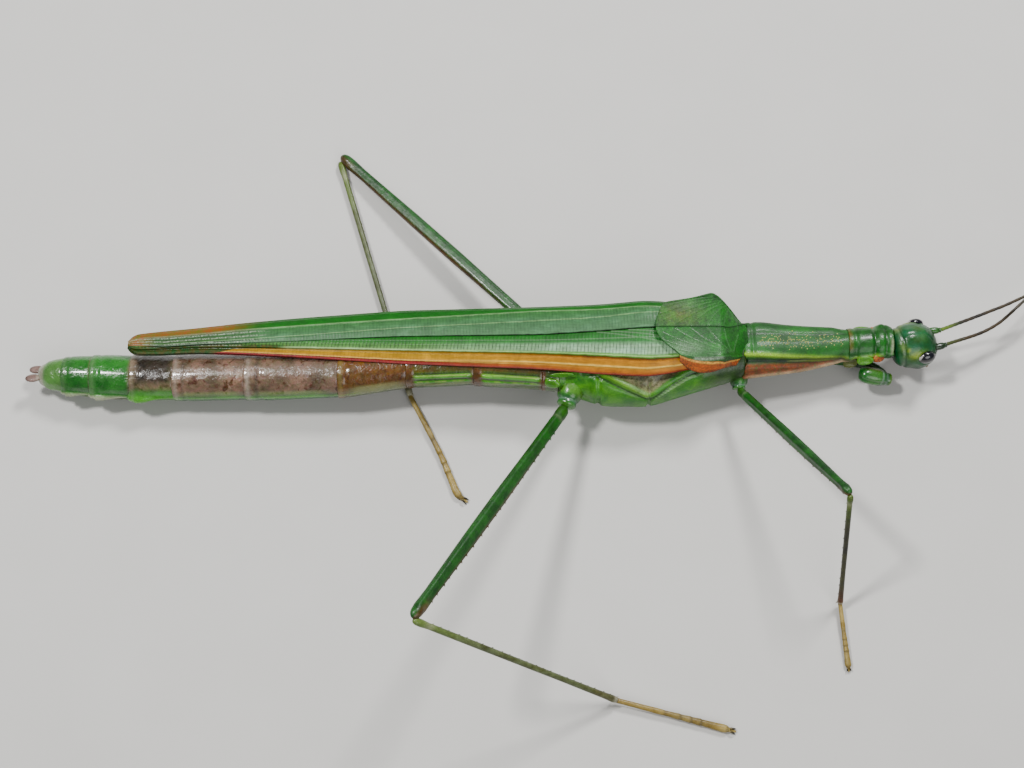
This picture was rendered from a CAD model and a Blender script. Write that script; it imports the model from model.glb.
"""A large green winged stick insect at rest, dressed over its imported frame.

Each piece is modelled straight and lying along X, in millimetres, and then laid in its
place on the insect, in metres.
"""

import math
import random

import bpy
import numpy as np
from mathutils import Matrix, Vector


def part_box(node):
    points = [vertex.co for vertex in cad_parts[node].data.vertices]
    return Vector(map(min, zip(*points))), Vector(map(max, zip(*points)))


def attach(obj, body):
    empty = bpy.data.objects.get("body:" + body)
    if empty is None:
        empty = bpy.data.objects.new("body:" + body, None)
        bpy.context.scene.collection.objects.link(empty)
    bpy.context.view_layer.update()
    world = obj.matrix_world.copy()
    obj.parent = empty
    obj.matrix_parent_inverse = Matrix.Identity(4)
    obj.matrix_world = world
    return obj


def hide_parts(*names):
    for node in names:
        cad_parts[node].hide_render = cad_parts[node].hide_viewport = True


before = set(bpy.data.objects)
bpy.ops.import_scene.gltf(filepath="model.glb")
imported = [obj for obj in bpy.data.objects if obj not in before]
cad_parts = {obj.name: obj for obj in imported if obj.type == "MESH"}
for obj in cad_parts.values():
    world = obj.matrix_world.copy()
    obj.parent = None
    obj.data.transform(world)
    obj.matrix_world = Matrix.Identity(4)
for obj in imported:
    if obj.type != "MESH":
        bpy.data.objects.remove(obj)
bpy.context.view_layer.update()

MM = 0.001
QUARTER = math.pi / 2

# ---- where things lie ---------------------------------------------------------------------

# The body's own measures start from the thorax joint and the middle line of the wings.
THORAX_JOINT_X = 48.7
WING_MIDDLE_Y = 6.3
SHIFT = np.array([
    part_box("mesothorax")[1].x / MM - THORAX_JOINT_X,
    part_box("hindwing_left")[0].y / MM - WING_MIDDLE_Y,
    0.0,
])

# The body along its length: x, then y and z of its axis, half width, height, depth, roll.
BODY = np.array([
    (55.3, 6.85, 5.5, 2.35, 2.10, 2.10, 15),
    (54.2, 6.80, 5.5, 2.65, 2.35, 2.20, 15),
    (52.6, 6.75, 5.5, 2.45, 2.05, 2.10, 15),
    (48.8, 6.60, 5.5, 2.45, 1.95, 2.30, 15),
    (47.0, 6.30, 5.5, 2.65, 1.95, 2.65, 15),
    (41.7, 5.85, 5.7, 3.45, 2.25, 3.20, 15),
    (36.0, 5.70, 6.0, 4.10, 2.50, 3.70, 16),
    (33.4, 5.40, 6.0, 4.15, 2.60, 3.75, 18),
    (28.0, 3.95, 6.0, 4.25, 3.20, 4.20, 26),
    (19.9, 2.40, 5.9, 4.90, 3.40, 5.30, 32),
    (13.3, 2.35, 5.9, 4.80, 3.30, 5.20, 36),
    (10.0, 2.35, 5.9, 4.10, 3.10, 4.00, 38),
    (6.9, 2.40, 5.9, 3.60, 2.90, 3.50, 38),
    (-5.3, 3.10, 5.9, 3.10, 2.70, 3.00, 38),
    (-15.0, 2.75, 5.6, 2.90, 2.80, 2.90, 38),
    (-24.8, 2.10, 4.9, 3.50, 3.20, 3.40, 38),
    (-38.3, 2.25, 4.1, 3.70, 3.20, 3.60, 38),
    (-48.7, 2.30, 3.6, 3.65, 3.00, 3.55, 38),
    (-54.9, 2.35, 3.5, 3.50, 3.00, 3.40, 38),
    (-60.7, 2.50, 3.4, 3.20, 2.90, 3.10, 38),
    (-64.9, 2.60, 3.3, 2.80, 2.60, 2.70, 38),
    (-68.6, 2.70, 3.2, 1.90, 1.60, 1.90, 38),
])[::-1]
AXIS_Y, AXIS_Z, HALF_WIDTH, HEIGHT, DEPTH, ROLL = range(1, 7)


EASE_SAMPLES = 9


def eased(table, column, x, window=2.5):
    """A column of a table at x, with its corners rounded over a short window."""
    offsets = np.linspace(-window / 2, window / 2, EASE_SAMPLES)
    spread = np.asarray(x, float)[..., None] + offsets
    return np.interp(spread, table[:, 0], table[:, column]).mean(-1)


def body(column, x):
    """One of the body's own measures at x."""
    return eased(BODY, column, x)


# ---- modelling ----------------------------------------------------------------------------

def deselect():
    """Leaves nothing selected, before a new form is added."""
    bpy.ops.object.select_all(action="DESELECT")


def alone(piece):
    """Selects one piece and nothing else."""
    deselect()
    piece.select_set(True)
    bpy.context.view_layer.objects.active = piece


def edit(piece):
    """Takes one piece into edit mode, with its selection as it is."""
    alone(piece)
    bpy.ops.object.mode_set(mode="EDIT")
    bpy.ops.mesh.select_mode(type="VERT")


def done():
    """Leaves edit mode."""
    bpy.ops.object.mode_set(mode="OBJECT")


def corners(piece):
    """The places of all vertices, a row for each."""
    co = np.empty(len(piece.data.vertices) * 3)
    piece.data.vertices.foreach_get("co", co)
    return co.reshape(-1, 3)


def put(piece, co):
    """Moves all vertices to new places."""
    piece.data.vertices.foreach_set("co", np.ascontiguousarray(co, dtype=np.float32).ravel())
    piece.data.update()


def facing(piece):
    """Which way the skin faces at each vertex."""
    way = np.empty(len(piece.data.vertices) * 3)
    piece.data.vertices.foreach_get("normal", way)
    return way.reshape(-1, 3)


def choose(piece, chosen):
    """Selects the vertices that a mask names, in edit mode."""
    alone(piece)
    piece.data.vertices.foreach_set("select", chosen)
    piece.data.edges.foreach_set("select", np.zeros(len(piece.data.edges), bool))
    piece.data.polygons.foreach_set("select", np.zeros(len(piece.data.polygons), bool))
    edit(piece)


def apply(piece, kind, **settings):
    """Adds a modifier and applies it at once."""
    alone(piece)
    modifier = piece.modifiers.new(kind.title(), kind)
    for key, value in settings.items():
        setattr(modifier, key, value)
    bpy.ops.object.modifier_apply(modifier=modifier.name)


def smooth(piece, levels):
    """Divides the skin and rounds it off."""
    apply(piece, "SUBSURF", levels=levels, render_levels=levels)


def raise_up(piece, chosen, height, reach):
    """Pushes chosen vertices out along the surface, and what lies near them less and less."""
    if not chosen.any():
        return
    choose(piece, chosen)
    bpy.ops.transform.shrink_fatten(
        value=height,
        use_proportional_edit=True,
        proportional_size=reach,
        proportional_edit_falloff="SMOOTH",
    )
    done()


def named(name):
    """The object that has just been added, with its name."""
    piece = bpy.context.object
    piece.name = piece.data.name = name
    return piece


def settle():
    """Makes the place, turn and size of the selected object part of its mesh."""
    bpy.ops.object.transform_apply(location=True, rotation=True, scale=True)


def edit_all(piece):
    """Takes one piece into edit mode with all of it selected."""
    edit(piece)
    bpy.ops.mesh.select_all(action="SELECT")


def sleeve(name, rows, sides):
    """A closed skin drawn out of one ring along X. Each row is x, half width, height, depth."""
    middle = lambda row: (row[2] - row[3]) / 2
    tall = lambda row: (row[2] + row[3]) / 2
    first = rows[0]
    centre = (first[0], 0, middle(first))
    deselect()
    bpy.ops.mesh.primitive_circle_add(
        vertices=sides, radius=1, location=centre, rotation=(0, QUARTER, 0))
    piece = named(name)
    settle()
    edit_all(piece)
    bpy.ops.transform.resize(value=(1, first[1], tall(first)), center_override=centre)
    for last, row in zip(rows, rows[1:]):
        step = (row[0] - last[0], 0, middle(row) - middle(last))
        bpy.ops.mesh.extrude_region_move(TRANSFORM_OT_translate={"value": step})
        bpy.ops.transform.resize(
            value=(1, row[1] / last[1], tall(row) / tall(last)),
            center_override=(row[0], 0, middle(row)),
        )
    bpy.ops.mesh.merge(type="CENTER")
    bpy.ops.mesh.select_all(action="DESELECT")
    bpy.ops.mesh.select_non_manifold(
        extend=False, use_wire=False, use_boundary=True, use_multi_face=False,
        use_non_contiguous=False, use_verts=False)
    bpy.ops.mesh.merge(type="CENTER")
    bpy.ops.mesh.select_all(action="SELECT")
    bpy.ops.mesh.normals_make_consistent(inside=False)
    done()
    return piece


def bead(name, at, size, rings, segments):
    """A ball added at its place and drawn out to its size."""
    deselect()
    bpy.ops.mesh.primitive_uv_sphere_add(segments=segments, ring_count=rings, radius=1, location=at)
    piece = named(name)
    edit_all(piece)
    bpy.ops.transform.resize(value=size, center_override=at)
    done()
    settle()
    return piece


def copied(piece, name):
    """A copy with a mesh of its own."""
    twin = piece.copy()
    twin.data = piece.data.copy()
    twin.name = twin.data.name = name
    bpy.context.scene.collection.objects.link(twin)
    return twin


def joined(pieces):
    """One piece of several. The first keeps its name."""
    deselect()
    for piece in pieces:
        piece.select_set(True)
    bpy.context.view_layer.objects.active = pieces[0]
    bpy.ops.object.join()
    return pieces[0]


def fade(value, low, high):
    """0 below low, 1 above high and an eased step between."""
    share = np.clip((np.asarray(value, float) - low) / (high - low), 0, 1)
    return share * share * (3 - 2 * share)


def between(value, low, high, soft):
    """1 from low to high and 0 outside, with soft ends."""
    return fade(value, low - soft, low + soft) * (1 - fade(value, high - soft, high + soft))


def line(distance, half):
    """1 on a line and less and less beside it, from the distance to it."""
    return np.exp(-(np.asarray(distance, float) / half) ** 2)


def mark(piece, lime=0, warm=0, pale=0, dark=0):
    """Marks where the finish turns lime, warm, pale and dark, each from 0 to 1."""
    values = np.zeros((len(piece.data.vertices), 4))
    for column, share in enumerate((lime, warm, pale, dark)):
        values[:, column] = np.clip(share, 0, 1)
    layer = piece.data.attributes.new("marks", "FLOAT_COLOR", "POINT")
    layer.data.foreach_set("color", values.astype(np.float32).ravel())


def remember(piece, values=None):
    """Keeps the piece's straight shape, or other values, as a pattern that follows it."""
    values = corners(piece) if values is None else values
    layer = piece.data.attributes.new("straight", "FLOAT_VECTOR", "POINT")
    layer.data.foreach_set("vector", values.astype(np.float32).ravel())


ON_AXIS = 1e-5            # a corner nearer than this to its axis has no angle of its own


def round_the_body(piece):
    """x, the angle from the back towards the right side in degrees, and the distance out."""
    co = corners(piece)
    radius = np.hypot(co[:, 1], co[:, 2])
    angle = np.where(radius > ON_AXIS, np.degrees(np.arctan2(-co[:, 1], co[:, 2])), 0)
    return co[:, 0], angle, radius


def arc(angle, line_angle, radius):
    """How far round the body a point is from a line along it, in millimetres."""
    turn = (angle - line_angle + 180) % 360 - 180
    return np.radians(turn) * radius


def on_body(x, angle, out):
    """A point on the body's skin, with its angle from the back towards the right."""
    turn, roll = math.radians(angle), math.radians(body(ROLL, x))
    left = -math.sin(turn) * (body(HALF_WIDTH, x) + out)
    up = math.cos(turn) * (body(HEIGHT if math.cos(turn) > 0 else DEPTH, x) + out)
    return (x, body(AXIS_Y, x) + left * math.cos(roll) + up * math.sin(roll),
            body(AXIS_Z, x) - left * math.sin(roll) + up * math.cos(roll))


def lay_on_body(piece):
    """Rolls and lifts a straight piece on to the axis of the body."""
    co = corners(piece)
    x, left, up = co.T
    roll = np.radians(body(ROLL, x))
    y = body(AXIS_Y, x) + left * np.cos(roll) + up * np.sin(roll)
    z = body(AXIS_Z, x) - left * np.sin(roll) + up * np.cos(roll)
    put(piece, (np.stack([x, y, np.maximum(z, 0)], 1) + SHIFT) * MM)


def emboss(piece, height):
    """Moves the skin outwards by a height given for each of its corners."""
    put(piece, corners(piece) + facing(piece) * np.asarray(height)[:, None])


def lay_as_is(piece):
    """Lays a piece that is already in the pose, such as a wing."""
    put(piece, (corners(piece) + SHIFT) * MM)


ROUTE_STEPS = 200         # even steps along a route, and eased steps between two of its points
EASE_STEPS = 40


def curve_through(points):
    """An even, eased line through points, and its length."""
    points = np.array(points, float)
    ends = np.vstack([2 * points[0] - points[1], points, 2 * points[-1] - points[-2]])
    line_points = []
    for a, b, c, d in zip(ends, ends[1:], ends[2:], ends[3:]):
        for t in np.linspace(0, 1, EASE_STEPS, endpoint=False):
            line_points.append(0.5 * (
                2 * b + (c - a) * t + (2 * a - 5 * b + 4 * c - d) * t ** 2
                + (3 * b - a - 3 * c + d) * t ** 3))
    line_points = np.array(line_points + [points[-1]])
    walked = np.concatenate([[0], np.cumsum(np.linalg.norm(np.diff(line_points, axis=0), axis=1))])
    even = np.linspace(0, walked[-1], ROUTE_STEPS)
    return np.stack([np.interp(even, walked, line_points[:, k]) for k in range(3)], 1), walked[-1]


def lay_along(piece, points, upright, length=None):
    """Lays a piece that is straight along X on a line through points. Its +Z turns upright."""
    route, whole = curve_through(points)
    co = corners(piece)
    length = length or co[:, 0].max()
    along = co[:, 0] / length * (len(route) - 1)
    ways = np.gradient(route, axis=0)
    at = np.stack([np.interp(along, range(len(route)), route[:, k]) for k in range(3)], 1)
    way = np.stack([np.interp(along, range(len(route)), ways[:, k]) for k in range(3)], 1)
    way /= np.linalg.norm(way, axis=1)[:, None]
    beyond = np.maximum(along - (len(route) - 1), 0) + np.minimum(along, 0)
    at += way * (beyond * whole / (len(route) - 1))[:, None]
    side = np.cross(np.broadcast_to(np.array(upright, float), way.shape), way)
    side /= np.linalg.norm(side, axis=1)[:, None]
    top = np.cross(way, side)
    laid = at + side * co[:, 1:2] + top * co[:, 2:3]
    laid[:, 2] = np.maximum(laid[:, 2], 0)
    put(piece, (laid + SHIFT) * MM)


def dress(piece, finish, slot, *nodes):
    """Gives a laid piece its finish, its slot and the frame's nodes that it stands for."""
    piece.data.materials.clear()
    piece.data.materials.append(finish)
    alone(piece)
    bpy.ops.object.shade_smooth()
    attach(piece, "root")
    if nodes:
        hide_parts(*nodes)
    return piece


# ---- finishes -----------------------------------------------------------------------------

SHEEN = 0.035             # light that the gloss adds to every colour
LIGHT = 1.45              # how much the lamps brighten a plain surface
SCREEN_WHITE, SCREEN_GAMMA = 255, 2.2
DARKEST = 0.1             # the share of a dark colour that is kept below the sheen


def paint(red, green, blue):
    """The surface colour that shows under the lamps as these screen values, 0 to 255."""
    def surface(value):
        seen = (value / SCREEN_WHITE) ** SCREEN_GAMMA
        return max(seen - SHEEN, DARKEST * seen) / LIGHT
    return (surface(red), surface(green), surface(blue), 1.0)


class Finish:
    """A finish put together node by node. Sizes are in millimetres."""

    def __init__(self, name, **shader):
        self.material = bpy.data.materials.new(name)
        self.material.use_nodes = True
        self.tree = self.material.node_tree
        self.shader = self.tree.nodes["Principled BSDF"]
        for socket, value in shader.items():
            self.shader.inputs[socket.replace("_", " ")].default_value = value
        self.find_place()

    @classmethod
    def around(cls, material):
        """Takes up a material again, to add to it."""
        finish = cls.__new__(cls)
        finish.material, finish.tree = material, material.node_tree
        finish.shader = finish.tree.nodes["Principled BSDF"]
        finish.find_place()
        return finish

    def find_place(self):
        """The place on the object, in millimetres, that all patterns start from."""
        coordinates = self.tree.nodes.new("ShaderNodeTexCoord")
        self.place = self.node("VectorMath", {0: coordinates.outputs["Object"], "Scale": 1 / MM},
                               "Vector", operation="SCALE")

    def node(self, kind, inputs, output=0, **settings):
        """Adds a node, joins or sets its inputs and gives back one of its outputs."""
        node = self.tree.nodes.new("ShaderNode" + kind)
        for key, value in settings.items():
            setattr(node, key, value)
        for key, value in inputs.items():
            if isinstance(value, bpy.types.NodeSocket):
                self.tree.links.new(value, node.inputs[key])
            else:
                node.inputs[key].default_value = value
        return node.outputs[output]

    def kept(self, name):
        """A pattern kept on the piece itself."""
        return self.node("Attribute", {}, "Vector", attribute_name=name)

    def marks(self):
        """Where the piece is marked lime, warm, pale and dark."""
        node = self.tree.nodes.new("ShaderNodeAttribute")
        node.attribute_name = "marks"
        split = self.tree.nodes.new("ShaderNodeSeparateColor")
        self.tree.links.new(node.outputs["Color"], split.inputs[0])
        return [*split.outputs, node.outputs["Alpha"]]

    def noise(self, size, detail=3.0, rough=0.55, at=None, warp=0.0):
        """Cloudy patches of this size, from 0 to 1."""
        return self.node("TexNoise", {
            "Vector": at or self.place, "Scale": 1 / size, "Detail": detail,
            "Roughness": rough, "Distortion": warp}, "Fac")

    def cells(self, size, feature="F1"):
        """Small cells of this size."""
        return self.node("TexVoronoi", {"Vector": self.place, "Scale": 1 / size}, "Distance",
                         feature=feature)

    def stretched(self, scale):
        """The place with each axis scaled, so that a pattern runs long where its scale is low."""
        return self.node("Mapping", {0: self.place, "Scale": scale}, "Vector")

    def math(self, how, a, b):
        return self.node("Math", {0: a, 1: b}, operation=how)

    def rise(self, value, low, high, to_low=0.0, to_high=1.0):
        """A value drawn out from between low and high to between two others."""
        return self.node("MapRange", {0: value, 1: low, 2: high, 3: to_low, 4: to_high})

    def ramp(self, value, stops):
        """Colours at stops from 0 to 1, with even steps between them."""
        node = self.tree.nodes.new("ShaderNodeValToRGB")
        ramp = node.color_ramp
        while len(ramp.elements) < len(stops):
            ramp.elements.new(0.5)
        for element, (position, colour) in zip(ramp.elements, stops):
            element.position = position
            element.color = colour
        self.tree.links.new(value, node.inputs[0])
        return node.outputs[0]

    def mix(self, share, a, b, how="MIX"):
        """Colour a where the share is 0 and b where it is 1, or a blended with b."""
        return self.node("Mix", {0: share, 6: a, 7: b}, 2, data_type="RGBA", blend_type=how)

    def shaded(self, colour, strength):
        """A colour made darker or lighter by a strength around 1."""
        return self.mix(1.0, colour, strength, "MULTIPLY")

    def colour(self, socket):
        self.tree.links.new(socket, self.shader.inputs["Base Color"])

    def roughness(self, socket):
        self.tree.links.new(socket, self.shader.inputs["Roughness"])

    def relief(self, *layers):
        """Fine relief: each layer is a height from 0 to 1 and its depth in millimetres."""
        normal = None
        for height, depth in layers:
            inputs = {"Height": height, "Strength": 1.0, "Distance": depth * MM}
            if normal is not None:
                inputs["Normal"] = normal
            normal = self.node("Bump", inputs, "Normal")
        self.tree.links.new(normal, self.shader.inputs["Normal"])


TEAL = paint(54, 112, 80)
LIME = paint(142, 186, 62)
ORANGE = paint(196, 104, 36)
MAUVE = paint(150, 114, 102)
CREAM = paint(214, 208, 180)
NIGHT = paint(22, 20, 16)
BURNT = 0.42              # how bright the darker patches of a warm colour are
WAVE_SIZE = 1.3


def darker(colour, share):
    """A colour with only a share of its brightness."""
    return tuple(share * part for part in colour[:3]) + (1.0,)


def shell(name, base, deep, lime=LIME, warm=ORANGE, pale=CREAM, dark=NIGHT,
          rough=(0.3, 0.46), blotch=1.6, grain=0.16, relief=0.02, coat=0.12, glow=0.0,
          speck=0.24, patch=0.9, stain=None, waves=0.08):
    """Horny skin: a mottled base colour with four marked colours over it, and fine pebbling.

    blotch, patch and grain are sizes of the base's blotches, the warm colour's patches and the
    pebbling. relief and waves are the depths of the pebbling and of the shallow waves.
    """
    finish = Finish(name, Coat_Weight=coat, Coat_Roughness=0.1, IOR=1.42,
                    Subsurface_Weight=glow, Subsurface_Scale=0.6 * MM)
    finish.shader.inputs["Subsurface Radius"].default_value = (1.0, 0.7, 0.4)
    blotches = finish.noise(blotch, 5, 0.6, warp=0.4)
    specks = finish.noise(grain, 2, 0.5)
    colour = finish.mix(finish.rise(blotches, 0.35, 0.68), base, deep)
    lime_at, warm_at, pale_at, dark_at = finish.marks()
    ragged = finish.rise(finish.noise(0.5, 4, 0.6), 0.3, 0.7, 0.75, 1.0)
    warm_tone = finish.mix(finish.rise(finish.noise(patch, 5, 0.65, warp=0.6), 0.38, 0.66),
                           warm, darker(warm, BURNT))
    if stain:
        stains = finish.rise(finish.noise(patch * 0.45, 5, 0.6, warp=0.5), 0.54, 0.64)
        warm_tone = finish.mix(stains, warm_tone, stain)
    for share, tone in ((warm_at, warm_tone), (lime_at, lime), (pale_at, pale)):
        colour = finish.mix(finish.math("MULTIPLY", share, ragged), colour, tone)
    colour = finish.mix(dark_at, colour, dark)
    colour = finish.shaded(colour, finish.rise(specks, 0.35, 0.7, 1 - speck, 1 + speck))
    clouds = finish.noise(blotch * 2.6, 3, 0.5, warp=0.8)
    finish.colour(finish.shaded(colour, finish.rise(clouds, 0.32, 0.68, 0.7, 1.25)))
    finish.roughness(finish.rise(finish.noise(0.6, 4, 0.7), 0.3, 0.7, *rough))
    finish.relief((finish.cells(grain, "SMOOTH_F1"), relief),
                  (finish.noise(WAVE_SIZE, 3), waves))
    return finish.material


WET = {"coat": 0.6, "glow": 0.05, "relief": 0.012, "rough": (0.22, 0.42), "speck": 0.1}
FINISHES = {
    "head": shell("Head shell green", TEAL, paint(40, 96, 44), coat=0.16, blotch=1.3,
                  lime=paint(176, 196, 48), rough=(0.26, 0.44)),
    "thorax": shell("Thorax shell green", paint(50, 116, 44), paint(34, 88, 34)),
    "shield": shell("Shield green", paint(54, 118, 46), paint(38, 92, 36), coat=0.05,
                    lime=paint(160, 204, 62), warm=paint(156, 80, 32), pale=paint(240, 212, 168),
                    stain=paint(104, 100, 34), rough=(0.44, 0.6)),
    "flank": shell("Flank plates green", paint(94, 160, 38), paint(60, 124, 28),
                   warm=paint(164, 154, 120), pale=paint(190, 214, 170),
                   stain=paint(100, 90, 66)),
    "belly": shell("Abdomen shell green", paint(70, 134, 66), paint(44, 104, 46),
                   warm=MAUVE, pale=paint(196, 186, 170), dark=paint(56, 26, 48),
                   lime=paint(110, 190, 50), stain=paint(96, 50, 40),
                   waves=0.3, patch=2.4, blotch=2.2, **WET),
    "amber": shell("Abdomen shell amber", paint(96, 124, 52), paint(70, 104, 40),
                   warm=paint(128, 82, 34), pale=paint(184, 186, 112),
                   lime=paint(96, 190, 50), stain=paint(92, 50, 24),
                   waves=0.2, patch=2.0, **WET),
    "membrane": shell("Joint skin", paint(96, 88, 58), paint(70, 60, 44), coat=0.1),
    "leg": shell("Leg green", paint(60, 108, 56), paint(40, 80, 42), warm=paint(118, 66, 42),
                 rough=(0.32, 0.5)),
    "coxa": shell("Coxa green", paint(70, 128, 72), paint(46, 100, 52), warm=paint(170, 120, 104),
                  pale=paint(190, 206, 206), coat=0.45, rough=(0.2, 0.38)),
    "shin": shell("Shin brown green", paint(84, 84, 56), paint(58, 50, 36), coat=0.05,
                  rough=(0.38, 0.55)),
    "shin_hind": shell("Hind shin olive", paint(112, 122, 88), paint(84, 88, 58),
                       warm=paint(120, 88, 52), coat=0.05, rough=(0.38, 0.55)),
    "foot": shell("Foot straw", paint(176, 148, 98), paint(136, 102, 62), coat=0.05,
                  rough=(0.4, 0.6)),
    "feeler": shell("Feeler brown", paint(82, 72, 56), paint(52, 44, 36), grain=0.1,
                    rough=(0.4, 0.6), coat=0.05),
    "mouth": shell("Mouthparts", paint(140, 108, 80), paint(96, 64, 46)),
    "tail": shell("Cerci", paint(150, 126, 118), paint(112, 84, 76), rough=(0.4, 0.6)),
}


FACET, FACET_DEPTH = 0.07, 0.006


def eye_finish():
    """Glossy blue-black facets, pale behind and pinkish brown below."""
    finish = Finish("Eye", Coat_Weight=0.7, Coat_Roughness=0.04, IOR=1.45, Roughness=0.2)
    _, warm_at, pale_at, _ = finish.marks()
    colour = finish.mix(finish.noise(0.5), paint(22, 24, 32), paint(34, 38, 62))
    colour = finish.mix(warm_at, colour, paint(150, 104, 92))
    colour = finish.mix(pale_at, colour, paint(224, 220, 212))
    finish.colour(colour)
    finish.relief((finish.cells(FACET), FACET_DEPTH))
    return finish.material


FINISHES["eye"] = eye_finish()

# ---- body shells --------------------------------------------------------------------------

LAP = 0.28                # how far each shell's rear rim reaches over the next shell
ROW_STEP = 0.8
SHELL_SIDES = 28
SIDES = ((1, "left"), (-1, "right"))
HOOD_FROM = 0.55          # share of the last shell's length where it starts to round off


def body_rows(front, back, draw_in, stand_out, closed=False):
    """Rings of one body shell, drawn in at its front edge and standing out at its rear.

    A closed shell is rounded off at its rear like a hood.
    """
    def row(x, share, size):
        """A ring at x: the body's measures at a share of the shell's length, times size."""
        at = front + (back - front) * share
        return (x, body(HALF_WIDTH, at) * size, body(HEIGHT, at) * size, body(DEPTH, at) * size)
    rows = [row(front - 0.9, 0, draw_in * 0.4), row(front - 0.3, 0, draw_in * 0.85),
            row(front, 0, draw_in * 0.96)]
    steps = max(4, round((front - back) / ROW_STEP))
    for i in range(steps + 1):
        share = i / steps
        size = draw_in + (stand_out - draw_in) * fade(share, 0, 1) ** 0.7
        if closed:
            size *= math.sqrt(1 - 0.6 * max(share - HOOD_FROM, 0) ** 2 / (1 - HOOD_FROM) ** 2)
        rows.append(row(front - 0.12 + (back - LAP - front + 0.16) * share, share, float(size)))
    if closed:
        return rows + [row(back - LAP - 0.1, 1, 0.42), row(back - LAP - 0.14, 1, 0.18)]
    return rows + [row(back - LAP - 0.04, 1, stand_out * 0.975),
                   row(back - LAP + 0.08, 1, stand_out * 0.9), row(back + 0.5, 1, stand_out * 0.4)]


def ends(node):
    """Where a node starts and stops along the body, front first."""
    return [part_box(node)[k].x / MM - SHIFT[0] for k in (1, 0)]


def body_shell(name, front, back, draw_in=0.96, stand_out=1.01, closed=False):
    """A smooth tube as wide, high and deep as the body, from one x to another."""
    piece = sleeve(name, body_rows(front, back, draw_in, stand_out, closed), SHELL_SIDES)
    smooth(piece, 2)
    return piece


def along_line(x, stops):
    """A value that changes along the body, from pairs of x and value given tail first."""
    return np.interp(x, *zip(*stops))


GROOVE_X, COLLAR_X = 52.35, 54.05       # the prothorax's cross grooves
# Lines along the thorax: the angle from the back towards the right, at x.
PRONOTUM_KEEL = ((48.8, 92), (50.0, 90), (52.6, 82), (55.2, 84))
MESONOTUM_MIDDLE = -22
MESONOTUM_KEEL = ((33.5, 47), (36.0, 52), (42.0, 62), (46.0, 76), (48.8, 92))
FLANK_RIDGE = 101
SEAM_LOW_X = 19.7         # where the metathorax's seam is lowest
FLANK_SEAM = ((8.0, 58), (12.1, 66), (15.0, 84), (SEAM_LOW_X, 110), (22.5, 88), (25.0, 72),
              (28.0, 62), (33.0, 60))
FAR_FLANK = (-78, -30)    # where the mesothorax is wider than the body's own measures
FAR_SWELL, REAR_SWELL = 0.5, 0.2
GRANULES, GRANULE_SIZE, GRANULE_FLAT = 150, 0.1, 0.7


def prothorax():
    """The collar, a cross groove behind its middle and a lime keel down each side."""
    front, back = ends("prothorax")
    piece = body_shell("Prothorax_shell", front, back)
    x, angle, radius = round_the_body(piece)
    upper = np.abs(angle) < 96
    for at, half, height, reach in ((GROOVE_X, 0.12, -0.26, 0.5), (COLLAR_X, 0.12, -0.16, 0.45),
                                    (49.7, 0.1, -0.1, 0.5)):
        raise_up(piece, upper & (np.abs(x - at) < half), height, reach)
    raise_up(piece, (np.abs(x - 53.7) < 0.297) & (np.abs(angle + 66) < 8), 0.4, 1.1)
    keel = along_line(x, PRONOTUM_KEEL)
    near, far = arc(angle, keel, radius), arc(angle, -keel, radius)
    raise_up(piece, (np.abs(near) < 0.1) | (np.abs(far) < 0.1), 0.18, 0.42)
    below = np.minimum(np.abs(near - 0.75), np.abs(far + 0.75))
    raise_up(piece, (below < 0.1) & (x > 49.5), -0.2, 0.5)
    remember(piece)
    edge = np.maximum(line(near, 0.26), line(far, 0.26))
    mark(piece,
         lime=edge * between(x, 49.0, 53.4, 0.5),
         pale=0.4 * line(x - 54.8, 0.2) * between(angle, 20, 78, 8),
         warm=np.maximum(fade(np.abs(angle), 118, 140) * 0.5,
                         0.28 * between(x, 48.3, 49.1, 0.3) * between(angle, -60, 60, 10)),
         dark=0.55 * line(x - GROOVE_X, 0.13) * upper + 0.5 * line(x - COLLAR_X, 0.12) * upper)
    lay_on_body(piece)
    return dress(piece, FINISHES["thorax"], "thorax_shell", "prothorax")


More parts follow.
